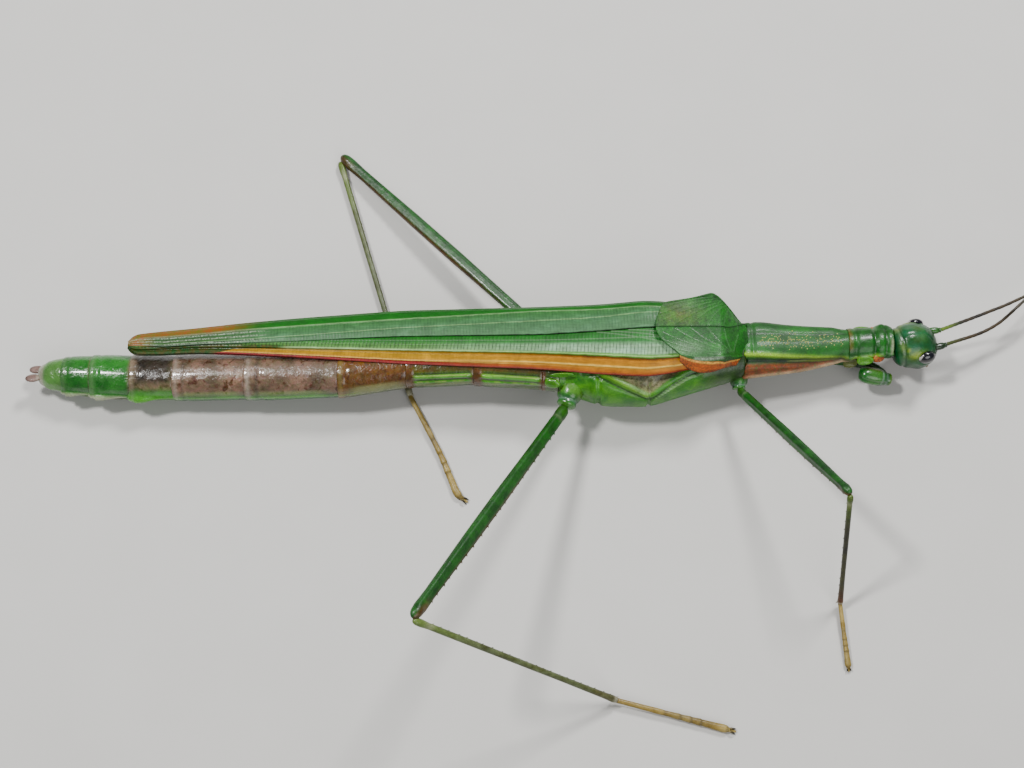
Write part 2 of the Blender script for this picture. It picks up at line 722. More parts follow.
def mesothorax():
    """A long shield with a dark middle line, lime keels and an orange ridge low on each flank."""
    front, back = ends("mesothorax")
    piece = body_shell("Mesothorax_shell", front, back)
    x, angle, radius = round_the_body(piece)
    keel = along_line(x, MESONOTUM_KEEL)
    other = 2 * MESONOTUM_MIDDLE - keel
    near, far = arc(angle, keel, radius), arc(angle, other, radius)
    low_near = arc(angle, FLANK_RIDGE, radius)
    low_far = arc(angle, 2 * MESONOTUM_MIDDLE - FLANK_RIDGE, radius)
    below = FLANK_RIDGE - keel
    gap_near = arc(angle, keel + 0.3 * below, radius)
    gap_far = arc(angle, other - 0.3 * below, radius)
    gap = np.minimum(np.abs(gap_near), np.abs(gap_far))
    middle = arc(angle, MESONOTUM_MIDDLE, radius)
    emboss(piece, 0.22 * np.maximum(line(near, 0.36), line(far, 0.36)) - 0.06 * line(middle, 0.25)
           - 0.42 * line(gap, 0.6) * fade(-x, -48.4, -47.6)
           + 0.3 * np.maximum(line(low_near, 0.34), line(low_far, 0.34))
           + (FAR_SWELL + REAR_SWELL * fade(-x, -40, -35)) * between(angle, *FAR_FLANK, 24)
           * fade(-x, -48.6, -46))
    raise_up(piece, (np.abs(x - back - 0.9) < 0.1) & (near < 0) & (far > 0), -0.12, 0.4)
    remember(piece)
    edge = np.maximum(line(near, 0.3), line(far, 0.3))
    low = np.maximum(line(low_near, 0.3), line(low_far, 0.3))
    flank = np.maximum(between(angle, keel + 0.42 * below, 138, 4),
                       between(-angle, 0.42 * below - other, 180, 4))
    mark(piece,
         lime=edge,
         warm=flank,
         pale=0.7 * low * fade(x, 33.0, 34.5),
         dark=np.maximum.reduce([0.6 * line(middle, 0.1), 0.85 * line(gap_near, 0.42),
                                 0.85 * line(gap_far, 0.42)]))
    granules(piece, GRANULES, lambda: (random.uniform(35.5, 47.6), random.gauss(8, 15)))
    lay_on_body(piece)
    return dress(piece, FINISHES["shield"], "thorax_shell", "mesothorax")


def granules(piece, count, draw):
    """Small round granules, modelled once and set over the back of a shell."""
    co, way = corners(piece), facing(piece)
    angle = round_the_body(piece)[1]
    deselect()
    bpy.ops.mesh.primitive_ico_sphere_add(subdivisions=1, radius=GRANULE_SIZE)
    grain = named("Granule_master")
    edit_all(grain)
    bpy.ops.transform.resize(value=(1, 1, GRANULE_FLAT))
    done()
    mark(grain, lime=1.0, pale=0.5)
    grains = []
    for _ in range(count):
        x, turn = draw()
        at = np.argmin((co[:, 0] - x) ** 2 + (np.radians(angle - turn) * 3) ** 2)
        twin = copied(grain, "Granule")
        spin = Vector(way[at]).to_track_quat("Z", "Y").to_matrix().to_4x4()
        twin.data.transform(Matrix.Translation(Vector(co[at])) @ spin)
        grains.append(twin)
    bpy.data.objects.remove(grain)
    joined([piece] + grains)


def metathorax():
    """The deep flanks: bright plates parted by a curved seam, with soft skin above them."""
    front, back = ends("metathorax")
    piece = body_shell("Metathorax_shell", front, back, 0.985, 1.0)
    x, angle, radius = round_the_body(piece)
    seam = along_line(x, FLANK_SEAM)
    marks = dict.fromkeys(("lime", "warm", "pale", "dark"), 0)

    def add(key, *layers):
        """Adds layers to one of the four marks, which keeps the strongest."""
        marks[key] = np.maximum.reduce([marks[key] + 0 * x, *layers])

    for side in (1, -1):
        turn = angle * side
        off = arc(turn, seam, radius)
        plates = (off > 0.0) & (turn < 150) & (x > 7.5)
        raise_up(piece, plates & (np.abs(x - SEAM_LOW_X) < 0.1), -0.22, 0.38)
        emboss(piece, -0.24 * line(off, 0.26) * between(x, 11, 27.5, 0.5)
               + 0.26 * line(off + 0.75, 0.42) * between(x, 11.5, 19.6, 0.5)
               - 0.45 * line(off + 2.2, 1.0) * between(x, 13, 26.5, 1.5)
               + 0.16 * line(off - 0.42, 0.32) * between(x, 20.0, 27, 0.6))
        strip = line(off + 0.75, 0.42) * between(x, 11.2, SEAM_LOW_X, 0.4)
        edge = line(off - 0.3, 0.14) * between(x, 20.2, 28, 0.5)
        soft = (1 - fade(off, -1.35, -1.05)) * between(x, 12, 27.5, 1.0) * (turn > 25)
        add("lime", 0.55 * strip)
        add("pale", 0.6 * edge, 0.5 * line(off + 1.05, 0.12) * between(x, 11.2, SEAM_LOW_X, 0.4))
        add("warm", soft, 0.15 * fade(x, 27.5, 29.5) * (turn > 40))
        add("dark", 0.9 * line(off, 0.13) * between(x, 11, 27.5, 0.3),
            0.8 * line(x - SEAM_LOW_X, 0.07) * plates,
            (0.4 * fade(x, 26.5, 29.5) + 0.4 * fade(x, 30.0, 33.0)) * (turn > 30))
        raise_up(piece, (x > 7.4) & (x < 10.9) & (np.abs(turn - 100) < 32), -0.4, 1.1)
        raise_up(piece, plates & (np.abs(x - 12.4) < 0.1), -0.25, 0.45)
    raise_up(piece, (np.abs(angle) > 168), -0.15, 0.8)
    remember(piece)
    mark(piece, **marks)
    lay_on_body(piece)
    return dress(piece, FINISHES["flank"], "thorax_shell", "metathorax")


FORM_SIDES = 14


def small_form(name, rows, points, upright, finish, marks, hollow):
    """A small soft or horny strip or lump, hollowed along its top and laid along points."""
    piece = sleeve(name, rows, FORM_SIDES)
    smooth(piece, 2)
    long, wide = rows[-1][0], max(row[1] for row in rows)
    co = corners(piece)
    raise_up(piece, (np.abs(co[:, 1]) < 0.2 * wide) & (co[:, 2] > 0)
             & (np.abs(co[:, 0] / long - 0.5) < 0.25), -hollow, 0.6 * wide)
    remember(piece)
    co = corners(piece)
    mark(piece, **{key: value(*co.T) for key, value in marks.items()})
    lay_along(piece, points, upright, long)
    return dress(piece, FINISHES[finish], "thorax_shell")


def flank_forms():
    """Small plates and a soft fold above each front coxa, a lobe and a leaf above each hind one.

    Each has rows of x, half width, height and depth, and two points on the body.
    """
    everywhere = lambda share: lambda x, y, z: share + 0 * x
    for side, tag in SIDES:
        def at(x, turn, out):
            """A point on this side of the body."""
            return on_body(x, -side * turn, out)
        small_form(f"Coxal_plate_rear_{tag}",
                   [(0, .3, .1, .1), (.1, .6, .2, .25), (.5, .95, .28, .35), (1.3, 1.0, .28, .35),
                    (1.9, .6, .22, .25), (2.1, .2, .1, .1)],
                   [at(47.9, 110, .15), at(50.1, 112, .4)], (0, side, .8), "membrane",
                   {"lime": everywhere(.2), "dark": everywhere(.15),
                    "pale": lambda x, y, z: .45 * fade(np.abs(y), .7, .95)}, .2)
        small_form(f"Coxal_plate_front_{tag}",
                   [(0, .25, .1, .1), (.12, .5, .25, .3), (.6, .85, .35, .4), (1.5, .8, .35, .4),
                    (2.2, .45, .25, .25), (2.4, .15, .1, .1)],
                   [at(49.8, 100, .3), at(52.3, 96, .3)], (0, side, .9), "flank",
                   {"lime": everywhere(.1),
                    "pale": lambda x, y, z: .6 * fade(np.abs(y), .58, .8)}, .2)
        small_form(f"Coxal_fold_{tag}",
                   [(0, .3, .1, .2), (.2, .5, .2, .3), (.7, .7, .28, .4), (1.3, .6, .25, .35),
                    (1.9, .1, .1, .1)],
                   [at(52.0, 94, .1), at(54.0, 98, .1)], (0, side, .9), "tegmen",
                   {"warm": everywhere(1), "dark": lambda x, y, z: .5 * fade(x, 1.0, 1.6),
                    "lime": lambda x, y, z: .8 * line(x - .5, .2) * (y * side < 0)}, .15)
        small_form(f"Flank_lobe_{tag}",
                   [(0, .2, .2, .2), (.2, .6, .45, .45), (1.0, .85, .55, .55), (2.0, .6, .45, .45),
                    (2.4, .2, .2, .2)],
                   [at(4.6, 86, -.1), at(7.0, 88, .3)], (0, side, .8), "amber",
                   {"lime": everywhere(.55), "warm": everywhere(.25)}, .1)
        small_form(f"Flank_leaf_{tag}",
                   [(0, .1, .08, .08), (.4, .28, .14, .14), (1.6, .42, .18, .18), (3.0, .3, .14, .14),
                    (3.7, .08, .06, .06)],
                   [at(5.2, 66, .25), at(9.0, 58, .35)], (0, side, .9), "flank",
                   {"lime": lambda x, y, z: .6 * fade(np.abs(y), .2, .36)}, .06)


random.seed(7)
prothorax()
mesothorax()
metathorax()

# ---- abdomen ------------------------------------------------------------------------------

SIDE_KEEL = 118          # the edge where back plates meet belly plates, degrees from the back

# For each segment: how brown its skin is, how green its lower side, how pale its rear rim,
# and how far its keel stands out.
SEGMENTS = {
    1: (0.3, 0.6, 0.05, 0.05), 2: (0.7, 1.0, 0.1, 0.10), 3: (0.7, 1.0, 0.1, 0.10),
    4: (1.0, 0.0, 0.2, 0.06), 5: (1.0, 1.0, 0.42, 0.14), 6: (1.0, 1.0, 0.35, 0.16),
    7: (0.6, 1.0, 0.15, 0.30), 8: (0.0, 1.0, 0.12, 0.34), 9: (0.0, 1.0, 0.12, 0.30),
    10: (0.0, 1.0, 0.6, 0.10),
}

# How far the lower edge of a segment's back plate flares out at its rear.
FLARES = {7: 0.45, 8: 0.3, 9: 0.25}
# The low hollow of the first three segments: its angle, its half width, and its depth behind
# and before.
LOW_HOLLOW_AT, LOW_HOLLOW_WIDE = 132, 24
LOW_HOLLOW_REAR, LOW_HOLLOW_FRONT = 0.25, 0.95
STRIPED = (1, 2, 3)       # the segments with stripes and a hollow along their sides
GROOVED = (2, 3)          # those with a groove and a ridge too, at these degrees from the back
GROOVE_AT, RIDGE_ABOVE = 96, 83


def segment_marks(number, x, turn, share, keel_line, rim):
    """How a segment is coloured, along its share of the length and its turn from the back."""
    brown, green = SEGMENTS[number][:2]
    lime, warm, pale, dark = 0.75 * keel_line * green, np.full(len(x), brown), rim, 0
    if number in STRIPED:
        body_part = between(share, 0.05, 0.9, 0.04)
        warm = np.maximum(brown * (1 - fade(turn, 66, 72)), 1 - body_part)
        lime = (between(turn, 77, 89, 1.5) + 0.8 * between(turn, 97, 105, 1.5)) * body_part
        glints = line(turn - 101, 1.6) * fade(np.sin(5.1 * x) + np.sin(2.3 * x), -0.4, 0.5)
        pale = np.maximum.reduce([0.75 * line(turn - 80, 1.6), 0.85 * glints,
                                  0.3 * between(turn, 107, 124, 4)]) * body_part
        dark = np.maximum(line(turn - 93.5, 2.6) * 0.8, 0.7 * line(turn - 73.5, 2.0)) * body_part
    elif number == 4:
        warm = 1 - 0.75 * fade(turn, 88, 118) * between(share, 0.05, 0.9, 0.1)
        pale = np.maximum(0.45 * between(turn, 92, 126, 6) * between(share, 0.1, 0.8, 0.1), rim)
        lime = keel_line * 0.3 * (share > 0.7)
    elif number in (5, 6):
        warm = 1 - fade(turn, 102, 116)
        lime = np.maximum(lime, 0.35 * between(turn, 98, 112, 6) * between(share, 0.1, 0.9, 0.1))
        pale = np.maximum(rim, 0.15 * between(turn, 28, 60, 12))
        dark = np.maximum(0.4 * line(share - 0.88, 0.02),
                          0.3 * line(turn - 108, 4) * between(share, 0.05, 0.9, 0.06))
    elif number == 7:
        warm = (1 - fade(turn, 80, 104)) * 0.85
        dark = 0.8 * (1 - fade(turn, 62, 90)) * between(share, 0.04, 0.9, 0.14)
        lime = np.maximum(lime, 0.35 * fade(turn, 90, 110))
    elif number in (8, 9):
        pale = np.maximum(rim, 0.8 * between(turn, 114, 132, 3) * fade(share, 0.05, 0.3))
        warm = 0.5 * line(share - 0.03, 0.04)
    else:
        lime = np.maximum(lime, 0.35)
        pale = np.maximum(0.12, 0.9 * fade(share, 0.76, 0.92))
    return {"lime": lime, "warm": warm, "pale": pale, "dark": dark}


def segment(number):
    """One ring of the abdomen: back plate, keel on each side and belly plate."""
    node = f"abdomen_{number:02d}"
    rim_pale, keel_out = SEGMENTS[number][2:]
    front, back = ends(node)
    piece = body_shell(f"Abdomen_segment_{number}", front, back, 0.965, 1.012, closed=number == 10)
    x, angle, radius = round_the_body(piece)
    share = (front - x) / (front - back)
    near, far = arc(angle, SIDE_KEEL, radius), arc(angle, -SIDE_KEEL, radius)
    keel = np.minimum(np.abs(near), np.abs(far))
    raise_up(piece, keel < 0.1, 0.6 * keel_out, 0.5)
    if number in FLARES:
        emboss(piece, 1.2 * keel_out * line(keel, 0.3) * fade(share, 0.1, 0.85)
               * (1 - fade(share, 0.9, 0.96)))
    raise_up(piece, np.abs(share - 0.9 + 0.05 * (number > 4)) < 0.1 / (front - back) * 1.6,
             -0.07, 0.4)
    flare = line(np.abs(angle) - 124, 20) * fade(share, 0.35, 0.92) ** 1.5
    emboss(piece, FLARES.get(number, 0.0) * flare)
    if number in STRIPED:
        co = corners(piece)
        depth = LOW_HOLLOW_REAR + (LOW_HOLLOW_FRONT - LOW_HOLLOW_REAR) * fade(x, -6, 4)
        hollow = depth * line(np.abs(angle) - LOW_HOLLOW_AT, LOW_HOLLOW_WIDE)
        co[:, 1:] *= (1 - hollow / np.maximum(radius, 1.5))[:, None]
        put(piece, co)
    if number in GROOVED:
        for side in (1, -1):
            groove, ridge = (arc(angle * side, at, radius) for at in (GROOVE_AT, RIDGE_ABOVE))
            raise_up(piece, (np.abs(groove) < 0.08) & (share > 0.1) & (share < 0.92), -0.16, 0.32)
            raise_up(piece, (np.abs(ridge) < 0.08) & (share > 0.08) & (share < 0.92), 0.2, 0.3)
    remember(piece)
    rim = line(share - 0.98, 0.36 / (front - back)) * rim_pale
    mark(piece, **segment_marks(number, x, np.abs(angle), share, line(keel, 0.22), rim))
    lay_on_body(piece)
    return dress(piece, FINISHES["amber" if number < 5 else "belly"], "abdomen_shell", node)


for number in SEGMENTS:
    segment(number)


SKIN_SHARE = 0.86         # the size of the soft skin within the shells
SKIN_WAIST = 0.16         # how much less that is where the first segments are hollowed


def joint_skin():
    """The soft skin inside the shells, which shows as a thin ring between them."""
    rows = []
    for x in np.arange(55.2, -68.0, -1.2):
        size = float(SKIN_SHARE - SKIN_WAIST * between(x, -6, 7, 3))
        rows.append((x, *(body(c, x) * size for c in (HALF_WIDTH, HEIGHT, DEPTH))))
    piece = sleeve("Joint_skin", rows, 24)
    smooth(piece, 1)
    remember(piece)
    x = corners(piece)[:, 0]
    mark(piece, lime=0.35 * between(x, 5, 55, 1))
    lay_on_body(piece)
    return dress(piece, FINISHES["membrane"], "abdomen_shell")


joint_skin()

# ---- wings --------------------------------------------------------------------------------

# The folded hind wings: x, y and z of the middle line, the right wing's width to its ridge,
# the width and drop of its hem, and the left wing's width and fall.
WINGS = np.array([
    (26.5, 7.00, 11.1, 3.90, 1.60, 1.10, 3.80, 0.6),
    (19.6, 7.20, 11.6, 4.80, 2.30, 1.40, 4.35, 0.8),
    (12.5, 6.70, 11.2, 3.70, 2.40, 1.40, 4.30, 0.8),
    (4.0, 6.40, 10.5, 2.80, 2.10, 1.10, 4.50, 0.8),
    (-16.0, 6.60, 9.3, 2.20, 1.75, 0.90, 4.10, 0.7),
    (-30.4, 6.80, 8.5, 1.75, 1.30, 0.50, 3.00, 0.6),
    (-39.1, 6.80, 8.0, 1.40, 1.00, 0.40, 2.30, 0.5),
    (-45.0, 6.75, 7.6, 1.20, 0.80, 0.35, 1.70, 0.4),
    (-52.2, 6.40, 7.2, 1.05, 0.80, 0.30, 1.40, 0.3),
    (-55.3, 6.20, 7.0, 0.80, 0.65, 0.20, 1.15, 0.2),
])[::-1]
(MIDDLE_Y, MIDDLE_Z, NEAR_WIDE, HEM_WIDE, HEM_DROP, FAR_WIDE, FAR_FALL) = range(1, 8)
WING_TIP, WING_ROOT = WINGS[0, 0], WINGS[-1, 0]
RIDGE_AT = 0.58           # share of the right wing's width where its ridge runs
FAR_EDGE = 0.75           # share of the left wing's width where its side edge curls down
WING_SKIN = 0.3
WING_EASE = 4.0           # the window over which the wings' measures are eased
NEAR_GRID, FAR_GRID, TEGMEN_GRID = (640, 66), (560, 36), (130, 84)


def wing(column, x):
    """One of the folded wings' measures at x."""
    return eased(WINGS, column, x, WING_EASE)


def along_wing(u):
    """x at a share of the way from the root of the hind wings to their tip."""
    return WING_ROOT + (WING_TIP - WING_ROOT) * u


def parted(v, edge):
    """Shares of the way across a wing as far as an edge, and of the way beyond it."""
    return np.minimum(v / edge, 1), np.maximum((v - edge) / (1 - edge), 0)


def draped(name, grid, place):
    """A fine grid, added flat and draped: place takes shares along and across it."""
    deselect()
    bpy.ops.mesh.primitive_grid_add(
        x_subdivisions=grid[0], y_subdivisions=grid[1], size=1, location=(0.5, 0.5, 0))
    piece = named(name)
    settle()
    u, v = corners(piece)[:, :2].T
    put(piece, np.stack(place(u, v), 1))
    if facing(piece)[:, 2].mean() < 0:
        edit_all(piece)
        bpy.ops.mesh.flip_normals()
        done()
    return piece, u, v


def finished_wing(piece, finish, slot, node):
    """Gives a marked wing its thickness and lays it in its place."""
    apply(piece, "SOLIDIFY", thickness=WING_SKIN, offset=-1.0, use_rim=True, use_even_offset=False)
    lay_as_is(piece)
    return dress(piece, FINISHES[finish], slot, node)


def ladder(x, v, gap, slant, wander):
    """Cross veins: 1 on a vein and 0 between two, with a slight slant and uneven gaps."""
    at = (x + slant * v + wander * np.sin(x * 1.7) + wander * 0.6 * np.sin(x * 4.1 + v * 9)) / gap
    return line((at + 0.5) % 1 - 0.5, 0.13)


TIP_ROUND = 0.02          # share of the wing's length that its tip is rounded over


def rounded_tip(u):
    """The share of the full width left near the blunt tip."""
    return np.sqrt(1 - np.clip(1 - (1 - u) / TIP_ROUND, 0, 0.95) ** 2)


def right_hindwing():
    """The near wing of the folded pair: ladder veins up to a pale ridge, then the bright hem."""
    def place(u, v):
        x = along_wing(u)
        top, hem = parted(v, RIDGE_AT)
        end = rounded_tip(u)
        y = wing(MIDDLE_Y, x) - 0.1 - (wing(NEAR_WIDE, x) * top + wing(HEM_WIDE, x) * hem) * end
        z = (wing(MIDDLE_Z, x) + 0.25 * np.sin(math.pi * top) - wing(HEM_DROP, x) * hem
             - 0.15 * np.sin(math.pi * hem))
        return x, y, z

    piece, u, v = draped("Hindwing_right_sheet", NEAR_GRID, place)
    x = corners(piece)[:, 0]
    seam_at = np.interp(x, (-14, 10), (0.865, 0.805))
    ridge, seam, edge = line(v - 0.56, 0.022), line(v - seam_at, 0.016), line(v - 0.99, 0.02)
    veins = ladder(x, v, 0.5, 0.6, 0.05)
    field = between(v, 0.08, 0.53, 0.04)
    inner = sum(line(v - np.interp(x, (start, 23), (0.03, end)), 0.012) * (x > start)
                for start, end in ((12, 0.34), (14, 0.22), (16.5, 0.12)))
    folds = sum(line(v - at, 0.012) for at in (0.2, 0.37))
    emboss(piece, 0.2 * ridge + 0.07 * seam + 0.06 * edge - 0.12 * line(v - 0.635, 0.03)
           + 0.035 * veins * field + 0.008 * veins * (v > 0.62) + 0.05 * folds + 0.04 * inner)
    remember(piece, np.stack([x, v, u], 1))
    hem_from = np.interp(x, (-44, -40, -34, -30), (1.1, 0.7, 0.6, 0.5))
    covered = (1 - fade(v, hem_from - 0.03, hem_from + 0.02)) * fade(v, 0.4, 0.5) * fade(-x, 31, 34)
    spots = line((x / 0.5 + 0.7 * np.sin(2.3 * x + 20 * v)) % 1 - 0.5, 0.22) * sum(
        line(v - at, 0.025) for at in (0.5, 0.66))
    mark(piece,
         lime=covered,
         pale=np.maximum.reduce([0.2 * inner, 0.2 * folds,
                                 spots * fade(-x, 38, 40) * fade(x, -54, -50)]),
         dark=np.maximum(0.75 * veins * between(v, 0.3, 0.52, 0.05),
                         0.35 * veins * between(v, 0.05, 0.3, 0.05))
         + 0.22 * veins * (v > 0.64) * fade(-x, -4, 20) + 0.6 * fade(v, 0.9, 0.99) * fade(-x, 41, 45))
    return finished_wing(piece, "wing_near", "hind_wing", "hindwing_right")


# The far wing's two folds, as shares of its width at x, and how far it laps over the near wing.
LEFT_OUTER_FOLD = ((-45, 0.5), (-16, 0.5), (-6, 0.58), (4, 0.66), (12, 0.62), (22, 0.6))
LEFT_INNER_FOLD = ((-45, 0.10), (-30, 0.17), (-16, 0.24), (4, 0.37), (12, 0.38), (22, 0.45))
LEFT_OVERLAP = ((-56, 0.5), (-50, 1.2), (-40, 1.2), (-30, 1.0), (-16, 0.35), (30, 0.3))


def left_hindwing():
    """The far wing: two pale folds, and an inner edge that laps over the near wing behind."""
    def place(u, v):
        x = along_wing(u)
        top, curl = parted(v, FAR_EDGE)
        lap = along_line(x, LEFT_OVERLAP)
        end = rounded_tip(u)
        outer = wing(FAR_WIDE, x) * (0.9 * top + 0.1 * curl) * end
        y = wing(MIDDLE_Y, x) + 0.1 - lap * (1 - v) ** 1.2 + outer
        fall = wing(FAR_FALL, x) * (top ** 2 + curl)
        z = (wing(MIDDLE_Z, x) + 0.2 * np.sin(math.pi * top) - fall
             + 0.42 * np.minimum(lap, 0.7) * (1 - v))
        return x, y, z

    piece, u, v = draped("Hindwing_left_sheet", FAR_GRID, place)
    x = corners(piece)[:, 0]
    outer, inner = along_line(x, LEFT_OUTER_FOLD), along_line(x, LEFT_INNER_FOLD)
    band = np.where(v < inner, 0.3 * v / inner,
                    np.where(v < outer, 0.3 + 0.3 * (v - inner) / (outer - inner),
                             0.6 + 0.4 * (v - outer) / (1 - outer)))
    veins = ladder(x, v, 0.46, 0.4, 0.05)
    emboss(piece, 0.11 * line(band - 0.3, 0.02) + 0.13 * line(band - 0.6, 0.02)
           + 0.06 * line(band - 0.015, 0.02) + 0.08 * line(band - 0.985, 0.02)
           - 0.05 * line(band - 0.45, 0.07) + 0.025 * veins * (band < 0.6))
    remember(piece, np.stack([x, band, u], 1))
    spots = line((x / 0.5 + 0.8 * np.sin(2.7 * x + 30 * band)) % 1 - 0.5, 0.24) * sum(
        line(band - at, 0.022) for at in (0.14, 0.24, 0.4, 0.52))
    mark(piece,
         pale=spots * fade(-x, 34, 38),
         dark=0.28 * veins * between(band, 0.04, 0.58, 0.03),
         warm=fade(-x, 36, 43) * np.maximum(fade(band, 0.5, 0.7), fade(-x, 51, 54)))
    return finished_wing(piece, "wing_far", "hind_wing", "hindwing_left")


SHEEN_STRETCH, STREAK_STRETCH = (0.35, 1.0, 1.0), (0.12, 1.0, 1.0)
SHEEN_TINT = (1.5, 1.5, 1.8, 1.0)


def wing_finish(name, head_bands, tail_bands, tail_from, tail_to):
    """Bands across the wing, one set near the body and one near the tip, with marked veins."""
    finish = Finish(name, Coat_Weight=0.05, Coat_Roughness=0.22, IOR=1.32)
    split = finish.tree.nodes.new("ShaderNodeSeparateXYZ")
    finish.tree.links.new(finish.kept("straight"), split.inputs[0])
    wander = finish.rise(finish.noise(1.2, 3), 0.3, 0.7, -0.008, 0.008)
    band = finish.math("ADD", split.outputs[1], wander)
    near_body = finish.ramp(band, head_bands)
    near_tip = finish.ramp(band, tail_bands)
    colour = finish.mix(finish.rise(split.outputs[0], tail_from, tail_to), near_body, near_tip)
    sheen = finish.rise(finish.noise(1.1, 4, 0.6, at=finish.stretched(SHEEN_STRETCH)), 0.5, 0.66,
                        0.0, 0.5)
    colour = finish.mix(sheen, colour, finish.shaded(colour, SHEEN_TINT))
    cloud = finish.noise(1.4, 5, 0.65, warp=0.5)
    colour = finish.shaded(colour, finish.rise(cloud, 0.35, 0.7, 1.12, 0.74))
    streaks = finish.noise(0.25, 3, 0.6, at=finish.stretched(STREAK_STRETCH))
    colour = finish.shaded(colour, finish.rise(streaks, 0.4, 0.75, 0.9, 1.25))
    lime_at, warm_at, pale_at, dark_at = finish.marks()
    brown = finish.mix(finish.rise(finish.noise(0.8, 4, 0.7), 0.35, 0.65),
                       paint(158, 92, 56), paint(112, 116, 44))
    colour = finish.mix(lime_at, colour, finish.mix(
        finish.rise(finish.noise(0.7, 4, 0.6), 0.4, 0.6), paint(58, 96, 46), paint(96, 92, 48)))
    colour = finish.mix(warm_at, colour, brown)
    colour = finish.mix(pale_at, colour, paint(204, 218, 192))
    colour = finish.mix(dark_at, colour, paint(24, 48, 28))
    finish.colour(colour)
    finish.roughness(finish.rise(finish.noise(0.5, 4, 0.7), 0.3, 0.7, 0.36, 0.56))
    finish.relief((finish.noise(0.12, 3), 0.012), (streaks, 0.02))
    return finish.material


# Colours across a hind wing from its inner edge to its outer one, near the body and near the tip.
GREY_LEAF = paint(92, 134, 94)
MID_LEAF = paint(54, 112, 48)
FOLD_PALE = paint(128, 170, 112)
MEDIAN = paint(22, 44, 24)
FINISHES["wing_far"] = wing_finish("Far wing", (
    (0.0, MEDIAN), (0.03, GREY_LEAF), (0.28, paint(78, 120, 80)), (0.3, FOLD_PALE),
    (0.325, GREY_LEAF), (0.57, paint(70, 116, 68)), (0.6, FOLD_PALE), (0.63, MID_LEAF),
    (0.96, paint(46, 102, 40)), (1.0, paint(110, 150, 84)),
), (
    (0.0, MEDIAN), (0.05, paint(60, 92, 50)), (0.28, paint(52, 80, 44)), (0.3, FOLD_PALE),
    (0.33, paint(66, 96, 56)), (0.57, paint(60, 92, 44)), (0.6, paint(140, 150, 104)),
    (0.64, paint(60, 104, 36)), (0.97, paint(96, 84, 36)), (1.0, paint(120, 96, 60)),
), -34, -44)
FINISHES["wing_near"] = wing_finish("Near wing", (
    (0.0, MEDIAN), (0.03, MID_LEAF), (0.26, paint(64, 124, 66)), (0.34, paint(134, 178, 132)),
    (0.5, paint(164, 204, 160)), (0.535, paint(96, 150, 70)), (0.56, paint(160, 210, 124)),
    (0.59, paint(92, 140, 50)), (0.61, paint(124, 80, 28)), (0.66, paint(196, 132, 42)),
    (0.77, paint(200, 140, 44)), (0.805, paint(242, 204, 104)), (0.835, paint(194, 134, 44)),
    (0.93, paint(174, 106, 34)), (0.975, paint(128, 66, 26)), (1.0, paint(90, 42, 24)),
), (
    (0.0, MEDIAN), (0.03, MID_LEAF), (0.26, paint(60, 116, 52)), (0.34, paint(72, 130, 58)),
    (0.5, paint(112, 156, 92)), (0.535, paint(150, 196, 120)), (0.56, paint(190, 222, 160)),
    (0.59, paint(130, 136, 54)), (0.61, paint(176, 134, 34)), (0.68, paint(204, 158, 40)),
    (0.83, paint(204, 150, 44)), (0.865, paint(226, 190, 100)), (0.89, paint(124, 44, 26)),
    (0.93, paint(150, 52, 32)), (0.975, paint(132, 46, 30)), (1.0, paint(90, 34, 24)),
), 10, -14)
right_hindwing()
left_hindwing()

# The short fore wings, each a hooded leaf with a raised shoulder and a flap down the flank:
# x, the width, and the depth of the flap, from the rear corner to the root.
TEGMEN_MIDDLE_Y = 6.8
ROOT_X, SHOULDER_X, TIP_X = 34.0, 29.2, 20.3
ROOT_Z, TOP_Z = 9.0, 12.4
TEGMINA = {
    "right": dict(way=-1, corner_x=23.6, splay=0.7, hump=0.35, edge=(
        (23.0, 3.9, 0.35), (24.0, 4.3, 1.3), (25.2, 4.5, 2.0), (26.8, 4.6, 2.35), (28.4, 4.65, 2.2),
        (29.8, 4.5, 1.75), (31.0, 4.1, 1.4), (32.6, 3.3, 1.1), (33.8, 2.6, 0.6))),
    "left": dict(way=1, corner_x=21.4, splay=0.4, hump=0.95, edge=(
        (20.6, 3.1, 0.3), (21.6, 3.6, 0.6), (26.0, 4.3, 1.2), (28.4, 4.65, 1.2),
        (29.1, 4.2, 0.9), (29.9, 3.6, 0.8), (31.5, 2.8, 0.8), (33.0, 1.8, 0.6), (33.8, 1.2, 0.4))),
}
# Where the fan of veins ends: x, and the distance from the line between the fore wings.
TEGMEN_VEIN_ENDS = ((32.2, 0.5), (30.0, 0.3), (27.6, 0.2), (25.2, 0.2), (23.0, 0.3),
                    (21.2, 0.9), (21.0, 1.9), (21.5, 2.9), (22.8, 3.7))
TEGMEN_BEND = 1.6         # how far the line between them bends to the far side at the root
TEGMEN_HEM = ((24, 0.79), (27, 0.82), (29, 0.84), (30, 0.87), (31, 0.84), (32.5, 0.81), (34, 0.79))
TEGMEN_EDGE = 0.75        # share of the width where the side edge turns down


def fan_of_veins(x, out):
    """1 on the fore wings' veins, each bent aside on its way from the shoulder to the rim."""
    veins = np.zeros(len(x))
    for place_in_fan, end in enumerate(TEGMEN_VEIN_ENDS):
        root = np.array([SHOULDER_X + 2.2 - 0.25 * place_in_fan, 3.2 + 0.13 * place_in_fan])
        end = np.array(end)
        bend = (root + end) / 2 + np.array([-0.3, 0.75])
        for t in np.linspace(0, 1, 60):
            at = (1 - t) ** 2 * root + 2 * t * (1 - t) * bend + t ** 2 * end
            veins = np.maximum(veins, line(np.hypot(x - at[0], out - at[1]), 0.085))
    return veins


